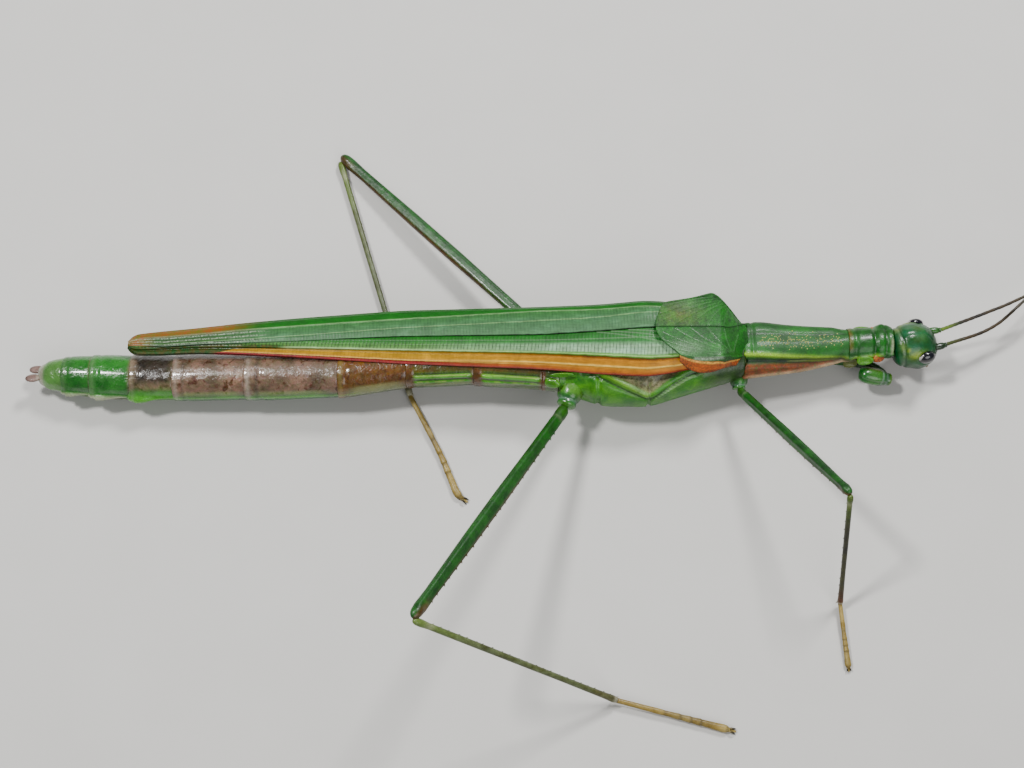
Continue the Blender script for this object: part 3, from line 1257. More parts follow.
def tegmen(side):
    """A short fore wing: a fan of veins on its top, a raised edge, and a flap down the flank."""
    form = TEGMINA[side]
    stations = np.array(form["edge"])

    def place(u, v):
        top, flap = parted(v, TEGMEN_EDGE)
        front = ROOT_X - 0.4 * top ** 2 - 0.5 * (1 - top) ** 2
        back = TIP_X + (form["corner_x"] - TIP_X) * top ** 2
        x = front + (back - front) * u
        lift = fade(ROOT_X - x, 0, ROOT_X - SHOULDER_X)
        width = eased(stations, 1, x, 0.7)
        hump = form["hump"] * top ** 3 * np.exp(-((x - SHOULDER_X + 0.7) / 2.0) ** 2)
        wrap = 1.1 * (1 - lift) * top ** 2
        down = eased(stations, 2, x, 0.7) * flap
        aside = TEGMEN_BEND * fade(x, 30.0, ROOT_X) * (1 - top)
        y = TEGMEN_MIDDLE_Y + aside + form["way"] * (0.03 + width * top + form["splay"] * down)
        z = ROOT_Z + (TOP_Z - ROOT_Z) * lift + hump - wrap - down + 0.05
        return x, y, z

    piece, u, v = draped(f"Tegmen_{side}_sheet", TEGMEN_GRID, place)
    co = corners(piece)
    x, out = co[:, 0], np.abs(co[:, 1] - TEGMEN_MIDDLE_Y)
    veins = fan_of_veins(x, out)
    inside = between(u, 0.03, 0.96, 0.03)
    ridge = line(v - 0.745, 0.02) * inside
    emboss(piece, 0.05 * veins * (v < 0.74) + 0.1 * ridge + 0.03 * line(u - 0.985, 0.012)
           + 0.05 * line(v - 0.8, 0.015) * inside + 0.04 * line(v - 0.01, 0.015) * inside)
    remember(piece, np.stack([x, v, u], 1))
    near = side == "right"
    hem_from = along_line(x, TEGMEN_HEM)
    flap = fade(v, hem_from - 0.012, hem_from + 0.004)
    crest = line(v - 0.778, 0.026) * between(x, 25.6, 29.8, 0.4)
    worn = line(np.hypot((x - 24.6) / 2.4, (out - 3.2) / 1.2), 0.9)
    stained = line(np.hypot((x - 23.8) / 3.2, (out - 1.8) / 1.9), 0.9)
    mark(piece,
         lime=line(v - hem_from - 0.02, 0.016) * near,
         warm=flap if near else 0.12 * stained,
         pale=np.maximum.reduce([(0.13 if near else 0.06) * veins * (v < 0.74),
                                 (0.9 if near else 0.2) * crest, (0.34 if near else 0.1) * worn]),
         dark=np.maximum.reduce([
             0.4 * line(v - 0.004, 0.012), 0.5 * flap * near * fade(v, 0.95, 1.0),
             0.55 * line(v - hem_from + 0.012, 0.008) * near * (x > 29),
             0.6 * line(np.hypot(x - 30.9, out - 1.3), 0.24) * (not near)]))
    return finished_wing(piece, "tegmen", "tegmen", f"tegmen_{side}")


def net_of_veins(finish, size, share, lighter):
    """A fine pale net laid into a finish made by shell."""
    old = finish.node_tree.nodes["Principled BSDF"].inputs["Base Color"].links[0].from_socket
    net = Finish.around(finish)
    edges = net.cells(size, "DISTANCE_TO_EDGE")
    net.colour(net.mix(net.rise(edges, 0.02, 0.1, share, 0.0), old, net.shaded(old, lighter)))


FINISHES["tegmen"] = shell("Tegmen green", paint(60, 120, 56), paint(40, 94, 42),
                           warm=paint(206, 104, 40), lime=paint(246, 196, 92),
                           pale=paint(170, 196, 162), coat=0.04,
                           rough=(0.48, 0.64), blotch=1.1, grain=0.22, relief=0.03)
net_of_veins(FINISHES["tegmen"], 0.42, 0.8, (1.8, 1.5, 2.0, 1.0))
tegmen("right")
tegmen("left")


def wing_bases():
    """The soft base of the folded wings, which fills the space under the fore wings."""
    rows = [(20.0, 1.6, .5, .6), (22.0, 3.0, 1.2, .9), (26.0, 3.6, 1.6, 1.2), (28.6, 3.7, 1.6, 1.4),
            (30.2, 3.0, .7, 1.4), (31.4, 2.2, .1, 1.2), (32.4, 1.2, -.4, .9), (32.8, .5, -.5, .7)]
    piece = sleeve("Wing_base", rows, 24)
    smooth(piece, 2)
    x, angle, _ = round_the_body(piece)
    for turn in (70, 92, 114):
        for side in (1, -1):
            raise_up(piece, (np.abs(angle - side * turn) < 3) & (x > 22) & (x < 33.4), -0.2, 0.45)
    remember(piece)
    turn = np.abs(round_the_body(piece)[1])
    mark(piece, warm=0.85, lime=0.5 * np.maximum(line(turn - 80, 5), line(turn - 103, 5)))
    put(piece, corners(piece) + (0, TEGMEN_MIDDLE_Y, 9.7))
    lay_as_is(piece)
    dress(piece, FINISHES["tegmen"], "thorax_shell")


wing_bases()
flank_forms()

# ---- head ---------------------------------------------------------------------------------

HEAD_AT = np.array([55.6, 6.1, 5.6])
HEAD_ROLL, HEAD_YAW = math.radians(-15), 0.18
HEAD_LONG = 6.0
# Share of the head's length, then half width, height and depth; and the shares with a ring.
HEAD = np.array([
    (-0.1, 1.8, 1.6, 1.8), (-0.06, 2.3, 2.1, 2.3), (0.0, 2.7, 2.4, 2.65), (0.07, 3.0, 2.65, 3.0),
    (0.22, 3.25, 2.85, 3.4), (0.48, 3.4, 2.85, 3.8), (0.7, 3.15, 2.45, 3.9), (0.87, 2.55, 1.75, 3.6),
    (0.97, 1.75, 0.95, 3.0), (1.0, 1.1, 0.4, 2.5), (1.01, 0.5, 0.1, 1.9),
])
HEAD_RINGS = (-0.1, -0.06, -0.02, 0.02, 0.08, 0.15, 0.22, 0.31, 0.4, 0.5, 0.6, 0.69, 0.78, 0.86,
              0.92, 0.965, 0.99, 1.01)
EYE_AT = np.array([3.65, 2.9, 0.45])
EYE_SIZE = (1.3, 0.82, 1.05)
NECK_X, FORK_X = 0.62, 4.0              # the groove behind the head, and where the seam forks
EYE_RIM, SOCKET_RIM = 1.28, 0.75        # how far the raised rims lie from the eye and the socket
SCAPE_AT = np.array([5.15, 1.5, 0.35])


def head_point(co):
    """Points of the straight head, rolled, turned and moved to its place."""
    x, y, z = np.asarray(co, float).reshape(-1, 3).T
    y, z = (y * math.cos(HEAD_ROLL) - z * math.sin(HEAD_ROLL),
            y * math.sin(HEAD_ROLL) + z * math.cos(HEAD_ROLL))
    x, y = (x * math.cos(HEAD_YAW) - y * math.sin(HEAD_YAW),
            x * math.sin(HEAD_YAW) + y * math.cos(HEAD_YAW))
    return np.stack([x, y, z], 1) + HEAD_AT


def lay_on_head(piece):
    """Lays a piece that was modelled on the straight head."""
    put(piece, (head_point(corners(piece)) + SHIFT) * MM)


def head_capsule():
    """A rounded helmet: eye rims, a forked seam on the crown, cheeks and feeler sockets."""
    rows = [(share * HEAD_LONG, *(float(eased(HEAD, k, share, 0.06)) for k in (1, 2, 3)))
            for share in HEAD_RINGS]
    piece = sleeve("Head_capsule", rows, SHELL_SIDES)
    smooth(piece, 2)
    co = corners(piece)
    x = co[:, 0]
    raise_up(piece, np.abs(x - NECK_X) < 0.06, -0.16, 0.42)
    for spot, size, height in (((1.9, 0, 2.6), 1.2, 0.12), ((4.9, 0, 1.4), 0.9, -0.16)):
        raise_up(piece, np.linalg.norm(co - spot, axis=1) < size * 0.4, height, size)
    middle = (np.abs(co[:, 1]) < 0.05) & (co[:, 2] > 0)
    raise_up(piece, middle & (x > 0.88) & (x < FORK_X), -0.07, 0.25)
    for side in (1, -1):
        away = np.linalg.norm((co - EYE_AT * (1, side, 1)) / EYE_SIZE, axis=1)
        raise_up(piece, np.abs(away - EYE_RIM) < 0.07, 0.12, 0.35)
        away = np.linalg.norm(co - SCAPE_AT * (1, side, 1), axis=1)
        raise_up(piece, np.abs(away - SOCKET_RIM) < 0.07, 0.1, 0.28)
        fork = np.abs(np.abs(co[:, 1]) - (x - FORK_X) * 0.9) < 0.07
        raise_up(piece, fork & (x > FORK_X) & (x < 5.0) & (co[:, 2] > 0), -0.05, 0.2)
        cheek = np.linalg.norm(co - (3.0, side * 2.9, -1.9), axis=1) < 0.3
        raise_up(piece, cheek, 0.14, 1.3)
    remember(piece)
    co = corners(piece)
    spot = lambda at, size: line(np.linalg.norm((co - at) / size, axis=1), 1.0)
    both = lambda at, size: np.maximum(spot(at, size), spot(np.array(at) * (1, -1, 1), size))
    mark(piece,
         lime=np.maximum.reduce([both((2.3, 2.6, 1.1), (1.15, 0.55, 0.55)),
                                 0.8 * both((1.1, 2.1, 1.7), (0.3, 0.3, 0.4)),
                                 0.3 * both((0.45, 1.6, 2.0), (0.5, 0.8, 0.6)),
                                 0.1 * both((3.0, 0.9, 2.6), (1.2, 0.7, 0.6))]),
         pale=0.1 * line(x - 0.3, 0.18) * (co[:, 2] > -1),
         warm=0.5 * fade(-co[:, 2], 2.4, 3.2),
         dark=np.maximum.reduce([0.35 * line(x - 0.64, 0.1), 0.75 * fade(-co[:, 2], 0.4, 2.2),
                                 0.55 * fade(x, 3.7, 5.4)]))
    lay_on_head(piece)
    return dress(piece, FINISHES["head"], "head_shell", "head")


def eye(side, name):
    """A facetted eye with a pale rim behind it and a pinkish brown lower part."""
    at = EYE_AT * (1, side, 1)
    piece = bead(f"Eye_{name}_ball", tuple(at), EYE_SIZE, 24, 36)
    co = corners(piece)
    off = (co - at) / EYE_SIZE
    rear = 0.85 * fade(-off[:, 0] + 0.5 * off[:, 2], 0.9, 0.99) * (off[:, 1] * side > 0.15)
    low = fade(-off[:, 2] + 0.35 * off[:, 0], 0.45, 0.8)
    remember(piece)
    mark(piece, pale=rear, warm=low)
    lay_on_head(piece)
    return dress(piece, FINISHES["eye"], "eye", f"eye_{name}")


FEELER_ENDS = {
    "left": ((69.0, 10.9, 7.2), (74.6, 13.4, 7.0), (93.0, 23.0, 4.8)),
    "right": ((69.6, 9.0, 5.4), (75.2, 13.6, 4.6), (89.0, 26.5, 2.6)),
}
SCAPE_LONG = 2.1
# The whip's rings: the first one's length, how much longer each next one is, and the longest.
RING_FIRST, RING_GROWTH, RING_LONGEST = 0.55, 1.09, 1.5


def scape_ends(side):
    """Where the feeler's first joint starts and ends."""
    tip = np.array([SCAPE_AT[0] + SCAPE_LONG, side * 1.3, SCAPE_AT[2]])
    return head_point([SCAPE_AT * (1, side, 1), tip])


def scape(side, name):
    """The feeler's stout first joint, with the short second one."""
    rows = [(t * SCAPE_LONG, w, w, w) for t, w in (
        (0, 0.3), (0.05, 0.44), (0.15, 0.5), (0.45, 0.54), (0.74, 0.5), (0.8, 0.36),
        (0.83, 0.34), (0.87, 0.42), (0.96, 0.38), (1.0, 0.22))]
    piece = sleeve(f"Scape_{name}", rows, 14)
    smooth(piece, 1)
    remember(piece)
    x = corners(piece)[:, 0]
    mark(piece, pale=0.2 * line(x - 1.95, 0.1),
         dark=np.maximum(0.5 * line(x - 1.7, 0.1), 0.8 * (side < 0)))
    lay_along(piece, scape_ends(side), (0, 0, 1), SCAPE_LONG)
    return dress(piece, FINISHES["scape"], "scape", f"antenna_base_{name}")


def feeler(side, name):
    """A long ringed whip, which starts just inside the joint before it."""
    points = [scape_ends(side)[1] - (0.15, 0, 0), *FEELER_ENDS[name]]
    long = curve_through(points)[1]
    rows = [(0.0, 0.2, 0.2, 0.2)]
    joint, x = RING_FIRST, 0.0
    while x + joint < long:
        thick = 0.3 - 0.1 * (x / long) ** 0.6
        rows += [(x + 0.05, *[thick * 0.84] * 3), (x + joint * 0.4, *[thick] * 3),
                 (x + joint * 0.92, *[thick * 1.05] * 3)]
        x += joint
        joint = min(joint * RING_GROWTH, RING_LONGEST)
    rows.append((long, *[0.12] * 3))
    piece = sleeve(f"Feeler_{name}", rows, 10)
    smooth(piece, 1)
    remember(piece)
    x = corners(piece)[:, 0]
    mark(piece, lime=(0.55 if side > 0 else 0.15) * (1 - fade(x, 0.3, 3.5)),
         pale=0.12 * fade(x, 8, 20))
    lay_along(piece, points, (0, 0, 1), long)
    return dress(piece, FINISHES["feeler"], "feeler", f"antenna_{name}")


def mouthparts():
    """The upper lip and its plate, a pair of jaws and a lower lip."""
    parts = [bead("Mouthparts_set", (4.9, 0, -2.75), (0.75, 1.3, 0.9), 14, 20)]
    co = corners(parts[0])
    raise_up(parts[0], np.abs(co[:, 2] + 2.55) < 0.07, -0.12, 0.3)
    for side in (1, -1):
        parts.append(bead("Jaw", (4.6, side * 0.85, -3.15), (0.75, 0.55, 0.6), 10, 14))
    parts.append(bead("Lower_lip", (4.1, 0, -3.3), (0.6, 0.9, 0.45), 10, 14))
    piece = joined(parts)
    remember(piece)
    z = corners(piece)[:, 2]
    mark(piece, pale=0.4 * fade(z, -2.6, -2.3), dark=0.4 * fade(-z, 3.3, 3.6))
    lay_on_head(piece)
    return dress(piece, FINISHES["mouth"], "mouth", "mouthparts")


PALP_LONG = 1.9


def palp(side, name):
    """A short jointed feeler beside the mouth."""
    rows = [(x, thick, thick, thick) for x, thick in (
        (0, 0.14), (0.1, 0.22), (0.5, 0.24), (0.58, 0.16), (0.64, 0.22), (1.1, 0.23),
        (1.17, 0.15), (1.24, 0.22), (1.7, 0.25), (PALP_LONG, 0.12))]
    piece = sleeve(f"Palp_{name}_whole", rows, 10)
    smooth(piece, 1)
    remember(piece)
    mark(piece, pale=0.3)
    points = head_point([(4.3, side * 1.55, -2.3), (4.7, side * 1.85, -2.9),
                         (4.6, side * 1.9, -3.9)])
    lay_along(piece, points, (1, 0, 0), PALP_LONG)
    return dress(piece, FINISHES["mouth"], "mouth", f"palp_{name}")


FINISHES["scape"] = shell("Scape green", paint(76, 136, 44), paint(44, 92, 34), coat=0.3)
head_capsule()
mouthparts()
for side, name in SIDES:
    palp(side, name)
for side, name in SIDES:
    eye(side, name)
    scape(side, name)
    feeler(side, name)

# ---- end of the abdomen -------------------------------------------------------------------

def operculum():
    """The boat-shaped plate under the end of the abdomen."""
    rows = [(-53.6, 0.7, 0.2, 0.25), (-54.5, 1.2, 0.3, 0.4), (-56.5, 1.5, 0.4, 0.5),
            (-58.5, 1.55, 0.4, 0.5), (-60.5, 1.5, 0.35, 0.5), (-62.5, 1.3, 0.3, 0.45),
            (-64.2, 1.05, 0.25, 0.4), (-65.6, 0.75, 0.2, 0.3), (-66.6, 0.4, 0.15, 0.2)]
    piece = sleeve("Operculum_plate", rows, 16)
    smooth(piece, 2)
    co = corners(piece)
    raise_up(piece, (np.abs(co[:, 1]) < 0.05) & (co[:, 2] < 0), 0.1, 0.35)
    remember(piece)
    co = corners(piece)
    mark(piece, pale=0.7 * fade(np.abs(co[:, 1]), 1.0, 1.4), lime=0.3)
    x = co[:, 0]
    put(piece, co - np.stack([0 * x, 0 * x, body(DEPTH, x) * 0.93], 1))
    lay_on_body(piece)
    return dress(piece, FINISHES["belly"], "abdomen_shell", "operculum")


def cercus(side, name):
    """A short flat leaf-like feeler at the tail."""
    rows = [(-0.7, 0.5, 0.34, 0.34), (0.3, 0.74, 0.42, 0.42), (0.9, 0.88, 0.46, 0.46),
            (1.5, 0.76, 0.4, 0.4), (1.95, 0.46, 0.28, 0.28), (2.15, 0.2, 0.14, 0.14)]
    piece = sleeve(f"Cercus_{name}_leaf", rows, 14)
    smooth(piece, 2)
    remember(piece)
    x = corners(piece)[:, 0]
    mark(piece, pale=0.4 * line(x - 0.2, 0.2), dark=0.25 * fade(x, 1.2, 2.1))
    root = np.array([-68.6, 2.8 + side * 0.85, 3.2 - side * 0.75])
    tip = np.array([-70.7, 2.8 + side * 1.0, 3.1 - side * 0.9])
    lay_along(piece, [root, tip], (0, 0.6, 0.8), 2.15)
    return dress(piece, FINISHES["tail"], "cercus", f"cercus_{name}")


operculum()
for side, name in SIDES:
    cercus(side, name)

# ---- legs ---------------------------------------------------------------------------------

# Half sizes of each pair's joints, in millimetres.
COXA_HALF, FEMUR_DEEP, FEMUR_WIDE, TIBIA_HALF, TARSUS_HALF = range(5)
LEG_SIZES = {
    "front": (1.3, 0.75, 0.58, 0.42, 0.36),
    "mid": (1.35, 0.85, 0.65, 0.45, 0.36),
    "hind": (1.95, 1.08, 0.86, 0.50, 0.44),
}
# The pose of each leg: coxa, hip, knee, head of the tibia, ankle, toe.
LEGS = {
    "front_right": ((50.6, 2.5, 3.9), (55.3, 2.0, 2.8), (32.4, 6.9, 0.75), (31.6, 7.9, 0.6),
                    (50.5, 7.1, 0.5), (59.4, 6.9, 0.38)),
    "front_left": ((50.6, 8.2, 4.0), (54.8, 8.9, 2.8), (32.2, 10.0, 0.75), (31.3, 9.0, 0.6),
                   (50.4, 8.4, 0.5), (59.3, 8.8, 0.38)),
    "mid_right": ((32.6, 2.6, 5.4), (32.7, -0.3, 5.1), (44.8, -19.4, 19.8), (44.8, -19.5, 19.6),
                  (46.2, -30.6, 1.0), (47.0, -40.1, 0.38)),
    "mid_left": ((32.6, 7.4, 4.6), (31.6, 9.9, 3.6), (8.3, 13.4, 0.85), (7.6, 12.3, 0.7),
                 (28.6, 11.6, 0.5), (38.4, 10.4, 0.38)),
    "hind_right": ((9.1, 1.4, 6.2), (7.6, -3.4, 6.4), (-12.4, -37.4, 28.1), (-12.4, -37.6, 27.9),
                   (14.6, -44.1, 1.0), (31.0, -48.3, 0.45)),
    "hind_left": ((8.6, 4.2, 5.3), (6.3, 6.6, 5.0), (-26.2, 38.8, 1.0), (-26.4, 38.0, 0.8),
                  (-14.8, -0.1, 0.8), (-6.3, -15.8, 0.45)),
}
# Points that a bent joint passes through between its ends.
FEMUR_BENDS = {"front_right": [(50.6, 5.2, 1.2)], "front_left": [(50.6, 9.4, 1.2)]}
FOOT_BENDS = {"hind_left": [(-10.7, -8.0, 0.6), (-8.8, -12.4, 0.45), (-7.8, -14.6, 0.45)]}
# Share of a joint's length, and how thick it is there.
FEMUR_FORM = ((0.004, 0.6), (0.012, 0.84), (0.03, 0.9), (0.045, 0.9), (0.058, 0.84), (0.075, 0.84),
              (0.16, 0.86), (0.3, 0.92), (0.45, 1.0), (0.65, 0.97), (0.9, 0.78), (0.955, 0.86),
              (0.975, 0.82), (0.992, 0.6), (0.998, 0.3))
TIBIA_FORM = ((0.0, 0.55), (0.008, 0.9), (0.02, 1.08), (0.04, 1.12), (0.07, 0.92), (0.3, 0.92),
              (0.7, 0.85), (0.93, 0.95), (0.975, 1.08), (0.993, 0.95), (1.0, 0.5))
COXA_FORM = ((-0.05, 0.4), (0.0, 0.72), (0.15, 0.95), (0.4, 1.0), (0.62, 0.94), (0.76, 0.8),
             (0.8, 0.72), (0.84, 0.7), (0.9, 0.74), (0.96, 0.68), (1.03, 0.5))
HIND_COXA_FORM = ((-0.05, 0.4), (0.0, 0.7), (0.15, 0.9), (0.35, 1.0), (0.55, 0.98), (0.72, 0.86),
                  (0.77, 0.7), (0.8, 0.69), (0.86, 0.74), (0.96, 0.7), (1.06, 0.5))
CLAW_FORM = ((0, 0.3), (0.1, 0.44), (0.4, 0.36), (0.7, 0.24), (0.92, 0.12), (1.0, 0.05))
CLAW_LONG = 0.075         # share of the foot's length
# Where each joint of the foot ends, by the foot's length, and the form of one joint.
TARSUS_JOINTS = (0.4, 0.53, 0.62, 0.7, 0.92)
TARSUS_FORM = ((0.04, 0.84), (0.2, 0.86), (0.7, 0.92), (0.88, 1.0), (0.97, 0.86))
KEEL_ANGLES = (42, -42, 138, -138)
LIMB_STEP = 0.9
THORN_LEAN = 0.9          # how far a thorn leans towards the foot, in radians
THORN_STOUT, THORN_OUT = 0.34, 0.42     # its half width and its middle's height, by its length


def limb(name, long, profile, wide, deep, keel, sides=12):
    """A straight limb joint with a keel along each of its four edges."""
    shares, swells = zip(*profile)
    count = max(14, round(long / LIMB_STEP))
    xs = sorted({round(v, 4) for v in np.concatenate([np.linspace(0, 1, count), shares])})
    rows = []
    for share in xs:
        swell = float(np.interp(share, shares, swells))
        rows.append((share * long, wide * swell, deep * swell, deep * swell))
    piece = sleeve(name, rows, sides)
    smooth(piece, 1)
    x, angle, _ = round_the_body(piece)
    for turn in KEEL_ANGLES:
        raise_up(piece, (np.abs(angle - turn) < 8) & (x > 0.06 * long) & (x < 0.96 * long),
                 keel, keel * 3.2)
    return piece


def thorns(piece, long, angle_list, gap, size, start=0.12, stop=0.95):
    """Small thorns along the lower keels, modelled once and copied."""
    deselect()
    bpy.ops.mesh.primitive_cone_add(vertices=8, radius1=size * THORN_STOUT, depth=size,
                                    location=(0, 0, size * THORN_OUT))
    thorn = named("Thorn_master")
    settle()
    thorn.data.transform(Matrix.Rotation(THORN_LEAN, 4, "Y"))
    co, way = corners(piece), facing(piece)
    angle = round_the_body(piece)[1]
    twins = []
    for turn in angle_list:
        x = start * long
        while x < stop * long:
            at = np.argmin((co[:, 0] - x) ** 2 + (np.radians(angle - turn) * 0.8) ** 2)
            out = Vector((0, *way[at][1:])).normalized()
            along = Vector((1, 0, 0))
            frame_matrix = Matrix((along, out.cross(along), out)).transposed().to_4x4()
            twin = copied(thorn, "Thorn")
            scale = random.uniform(0.75, 1.2)
            twin.data.transform(Matrix.Translation(Vector(co[at])) @ frame_matrix
                                @ Matrix.Scale(scale, 4))
            twins.append(twin)
            x += gap * random.uniform(0.8, 1.25)
    bpy.data.objects.remove(thorn)
    joined([piece] + twins)


def femur(rank, long):
    """The upper leg joint, with lobes at the knee, grooved sides and thorns below."""
    sizes = LEG_SIZES[rank]
    piece = limb("Femur", long, FEMUR_FORM, sizes[FEMUR_WIDE], sizes[FEMUR_DEEP], 0.1)
    x, angle, _ = round_the_body(piece)
    for side in (90, -90):
        lobe = (np.abs(angle - side) < 25) & (x > 0.965 * long) & (x < 0.985 * long)
        raise_up(piece, lobe, 0.12, 0.7)
        raise_up(piece, (np.abs(angle - side) < 9) & (x > 0.1 * long) & (x < 0.93 * long),
                 -0.09, 0.35)
    thorns(piece, long, (146, -146), 1.7, 0.34 if rank == "hind" else 0.26)
    remember(piece)
    x, angle, _ = round_the_body(piece)
    under = fade(np.abs(angle), 118, 140)
    mark(piece,
         lime=0.06 * between(x, 0.0, 0.05 * long, 0.3),
         warm=0.75 * np.maximum(under * fade(x, 0.1 * long, 0.4 * long),
                                fade(x, 0.9 * long, 0.97 * long) * fade(np.abs(angle), 50, 105)),
         pale=0.12 * line(x - 0.062 * long, 0.008 * long),
         dark=0.3 * line(x - 0.05 * long, 0.008 * long))
    return piece


def tibia(rank, long):
    """The lower leg joint, with two rows of thorns and a pair of spurs at the ankle."""
    thick = LEG_SIZES[rank][TIBIA_HALF]
    piece = limb("Tibia", long, TIBIA_FORM, thick * 0.92, thick, 0.07, sides=10)
    thorns(piece, long, (150, -150), 1.5, 0.24, 0.08, 0.96)
    for turn in (120, -120):
        thorns(piece, long, (turn,), 3, 0.42, 0.985, 0.99)
    remember(piece)
    x, angle, _ = round_the_body(piece)
    mark(piece,
         lime=0.3 * (1 - fade(x, 0.02 * long, 0.3 * long)),
         warm=0.3 * fade(x, 0.8 * long, 0.95 * long),
         pale=np.maximum(0.3 * line(x - 0.07 * long, 0.02 * long),
                         0.6 * fade(x, 0.965 * long, 0.98 * long)),
         dark=0.3 * fade(np.abs(angle), 120, 160))
    return piece


def claw(side, long, thick):
    """One of the two hooked claws, at the end of a foot that is long and thick like this."""
    rows = [(share * CLAW_LONG * long, *[swell * thick] * 3) for share, swell in CLAW_FORM]
    piece = sleeve("Claw", rows, 8)
    smooth(piece, 1)
    co = corners(piece)
    reach = co[:, 0] / (CLAW_LONG * long)
    co[:, 0] = 0.925 * long + 0.07 * long * np.sin(reach * 1.35)
    co[:, 2] += thick * (0.55 * np.sin(reach * math.pi) - 0.75 * reach ** 2)
    co[:, 1] += side * thick * (0.35 + 0.55 * reach)
    put(piece, co)
    return piece


def tarsus(rank, long):
    """Five joints with pads under them, and a pair of hooked claws with a pad between."""
    thick = LEG_SIZES[rank][TARSUS_HALF]
    rows, start = [(-0.5, *[thick * 0.6] * 3), (-0.3, *[thick * 0.95] * 3)], 0.0
    for end in TARSUS_JOINTS:
        span = end - start
        for share, swell in TARSUS_FORM:
            size = thick * swell * (1 + 0.4 * fade(start + span * share, 0.3, 0.95))
            rows.append(((start + span * share) * long, size, size * 0.92, size * 0.85))
        start = end
    rows += [(0.935 * long, *[thick * 0.8] * 3), (0.95 * long, *[thick * 0.35] * 3)]
    piece = sleeve("Tarsus", rows, 12)
    smooth(piece, 1)
    extras, start = [], 0.0
    for end in TARSUS_JOINTS[:-1]:
        size = (min(0.45, (end - start) * long * 0.2), thick * 0.5, thick * 0.26)
        extras.append(bead("Pad", ((end - 0.02) * long - size[0], 0, -thick * 0.72), size, 8, 12))
        start = end
    extras.append(bead("Sole", (0.965 * long, 0, -thick * 0.2),
                       (0.032 * long, thick * 0.55, thick * 0.3), 8, 12))
    extras += [claw(side, long, thick) for side in (1, -1)]
    claw_from = len(piece.data.vertices) + sum(len(e.data.vertices) for e in extras[:-2])
    piece = joined([piece] + extras)
    remember(piece)
    co = corners(piece)
    x = co[:, 0]
    order = np.arange(len(x))
    tips = (order >= claw_from) * (0.4 + 0.6 * fade(x, 0.935 * long, 0.97 * long))
    rings = np.maximum.reduce([line(x - end * long, 0.012 * long) for end in TARSUS_JOINTS])
    mark(piece, lime=0.12, pale=0.3 * fade(-co[:, 2], 0.3 * thick, 0.9 * thick),
         dark=np.maximum(0.45 * rings, tips))
    return piece


def coxa(rank, long):
    """The short joint at the body, with a groove and a ridge along it and a narrow ring before
    the upper leg joint.
    """
    size = LEG_SIZES[rank][COXA_HALF]
    form = HIND_COXA_FORM if rank == "hind" else COXA_FORM
    piece = sleeve("Coxa", [(share * long, *[swell * size] * 3) for share, swell in form], 18)
    smooth(piece, 2)
    x, angle, _ = round_the_body(piece)
    raise_up(piece, (np.abs(angle - 60) < 4) & (x < 0.75 * long), -0.1, 0.4)
    raise_up(piece, (np.abs(angle + 80) < 4) & (x < 0.75 * long), 0.08, 0.4)
    remember(piece)
    mark(piece,
         pale=np.maximum(0.22 * line(x / long - 0.8, 0.04),
                         0.4 * line(x / long - 0.66, 0.025) * (rank == "front")),
         lime=np.maximum((0.3 if rank == "hind" else 0.12) * between(x / long, 0.2, 0.66, 0.1),
                         (0.5 if rank == "front" else 0.15) * fade(x / long, 0.84, 0.94)),
         warm=0.3 * line(angle + 40, 16) * between(x / long, 0.1, 0.6, 0.1) * (rank == "front"),
         dark=0.35 * line(angle - 60, 4) * (x < 0.75 * long))
    return piece


def legs():
    """All six legs. Each pair's joints are modelled once, and each leg has them laid in its pose."""
    kinds = {}
    makers = {"Coxa": coxa, "Femur": femur, "Tibia": tibia, "Tarsus": tarsus}
    for name, points in LEGS.items():
        rank = name.split("_")[0]
        root, hip, knee, shin, ankle, toe = (np.array(p) for p in points)
        spans = {
            "Coxa": ([root, hip], "leg_green", "coxa", (0, 0, 1)),
            "Femur": ([hip, *FEMUR_BENDS.get(name, ()), knee], "leg_green", "leg", knee - ankle),
            "Tibia": ([shin, ankle], "shin", "shin_hind" if rank == "hind" else "shin", knee - hip),
            "Tarsus": ([ankle, *FOOT_BENDS.get(name, ()), toe], "foot", "foot", (0, 0, 1)),
        }
        for kind, (joint_line, slot_name, finish, upright) in spans.items():
            long = curve_through(joint_line)[1]
            key = (kind, rank)
            if key not in kinds:
                kinds[key] = (makers[kind](rank, long), long)
            master, master_long = kinds[key]
            piece = copied(master, f"{kind}_{name}_shell")
            lay_along(piece, joint_line, upright, master_long)
            dress(piece, FINISHES[finish], slot_name, f"{kind.lower()}_{name}")
    for master, _ in kinds.values():
        bpy.data.objects.remove(master)


legs()

# ---- floor, light and camera --------------------------------------------------------------

ELEVATION = math.radians(72)
CAMERA_FAR = 240.0
AIM = Vector((0.0, 0.0, 7.0))
PIXELS_PER_MM = 6.99
SENSOR = 36.0
FRAME_WIDTH = 1024
CLIP = (0.01, 5.0)
FLOOR_SIZE, FLOOR_ROUGH, FLOOR_CLOUDS = 3.0, 0.75, 14
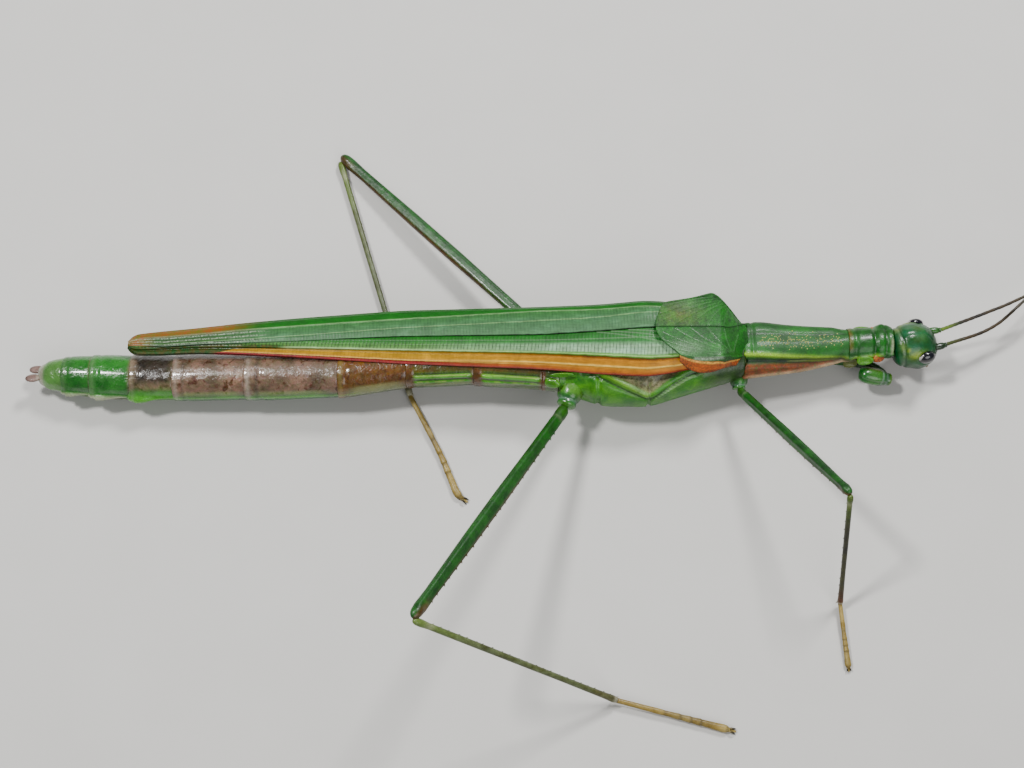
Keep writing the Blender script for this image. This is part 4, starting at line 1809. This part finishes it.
# Each lamp: name, azimuth and elevation, how far away and how wide in millimetres, and watts.
LAMPS = (
    ("Key", -110, 62, 420, 60, 1.6),
    ("Top", 150, 50, 420, 90, 1.6),
    ("Fill", 30, 40, 480, 360, 1.1),
)
SKY, SKY_STRENGTH = (0.92, 0.95, 1.0, 1.0), 0.25


def aimed(thing, at, target):
    """Puts a lamp or camera at a place, looking at a target."""
    thing.location = at
    thing.rotation_euler = (Vector(target) - Vector(at)).to_track_quat("-Z", "Y").to_euler()


def soft_lamp(name, azimuth, elevation, far, size, watts):
    """A round soft lamp that lights the middle of the insect."""
    target = Vector(SHIFT) * MM
    a, e = math.radians(azimuth), math.radians(elevation)
    way = Vector((math.sin(a) * math.cos(e), -math.cos(a) * math.cos(e), math.sin(e)))
    deselect()
    bpy.ops.object.light_add(type="AREA")
    lamp = named(name)
    lamp.data.shape = "DISK"
    lamp.data.size = size * MM
    lamp.data.energy = watts
    aimed(lamp, target + way * far * MM, target)


def studio():
    """A pale floor, three soft lamps, a faint sky and the camera."""
    deselect()
    bpy.ops.mesh.primitive_plane_add(size=FLOOR_SIZE)
    floor = named("Floor")
    finish = Finish("Pale floor", Roughness=FLOOR_ROUGH)
    finish.colour(finish.mix(finish.noise(FLOOR_CLOUDS),
                             paint(236, 234, 229), paint(228, 226, 221)))
    floor.data.materials.append(finish.material)
    for lamp in LAMPS:
        soft_lamp(*lamp)
    world = bpy.context.scene.world or bpy.data.worlds.new("World")
    bpy.context.scene.world = world
    world.use_nodes = True
    background = world.node_tree.nodes["Background"]
    background.inputs["Color"].default_value = SKY
    background.inputs["Strength"].default_value = SKY_STRENGTH
    target = (Vector(SHIFT) + AIM) * MM
    back = Vector((0, -math.cos(ELEVATION), math.sin(ELEVATION)))
    bpy.ops.object.camera_add()
    camera = named("Camera")
    camera.data.sensor_width = SENSOR
    camera.data.lens = PIXELS_PER_MM * CAMERA_FAR * SENSOR / FRAME_WIDTH
    camera.data.clip_start, camera.data.clip_end = CLIP
    aimed(camera, target + back * CAMERA_FAR * MM, target)
    bpy.context.scene.camera = camera


studio()
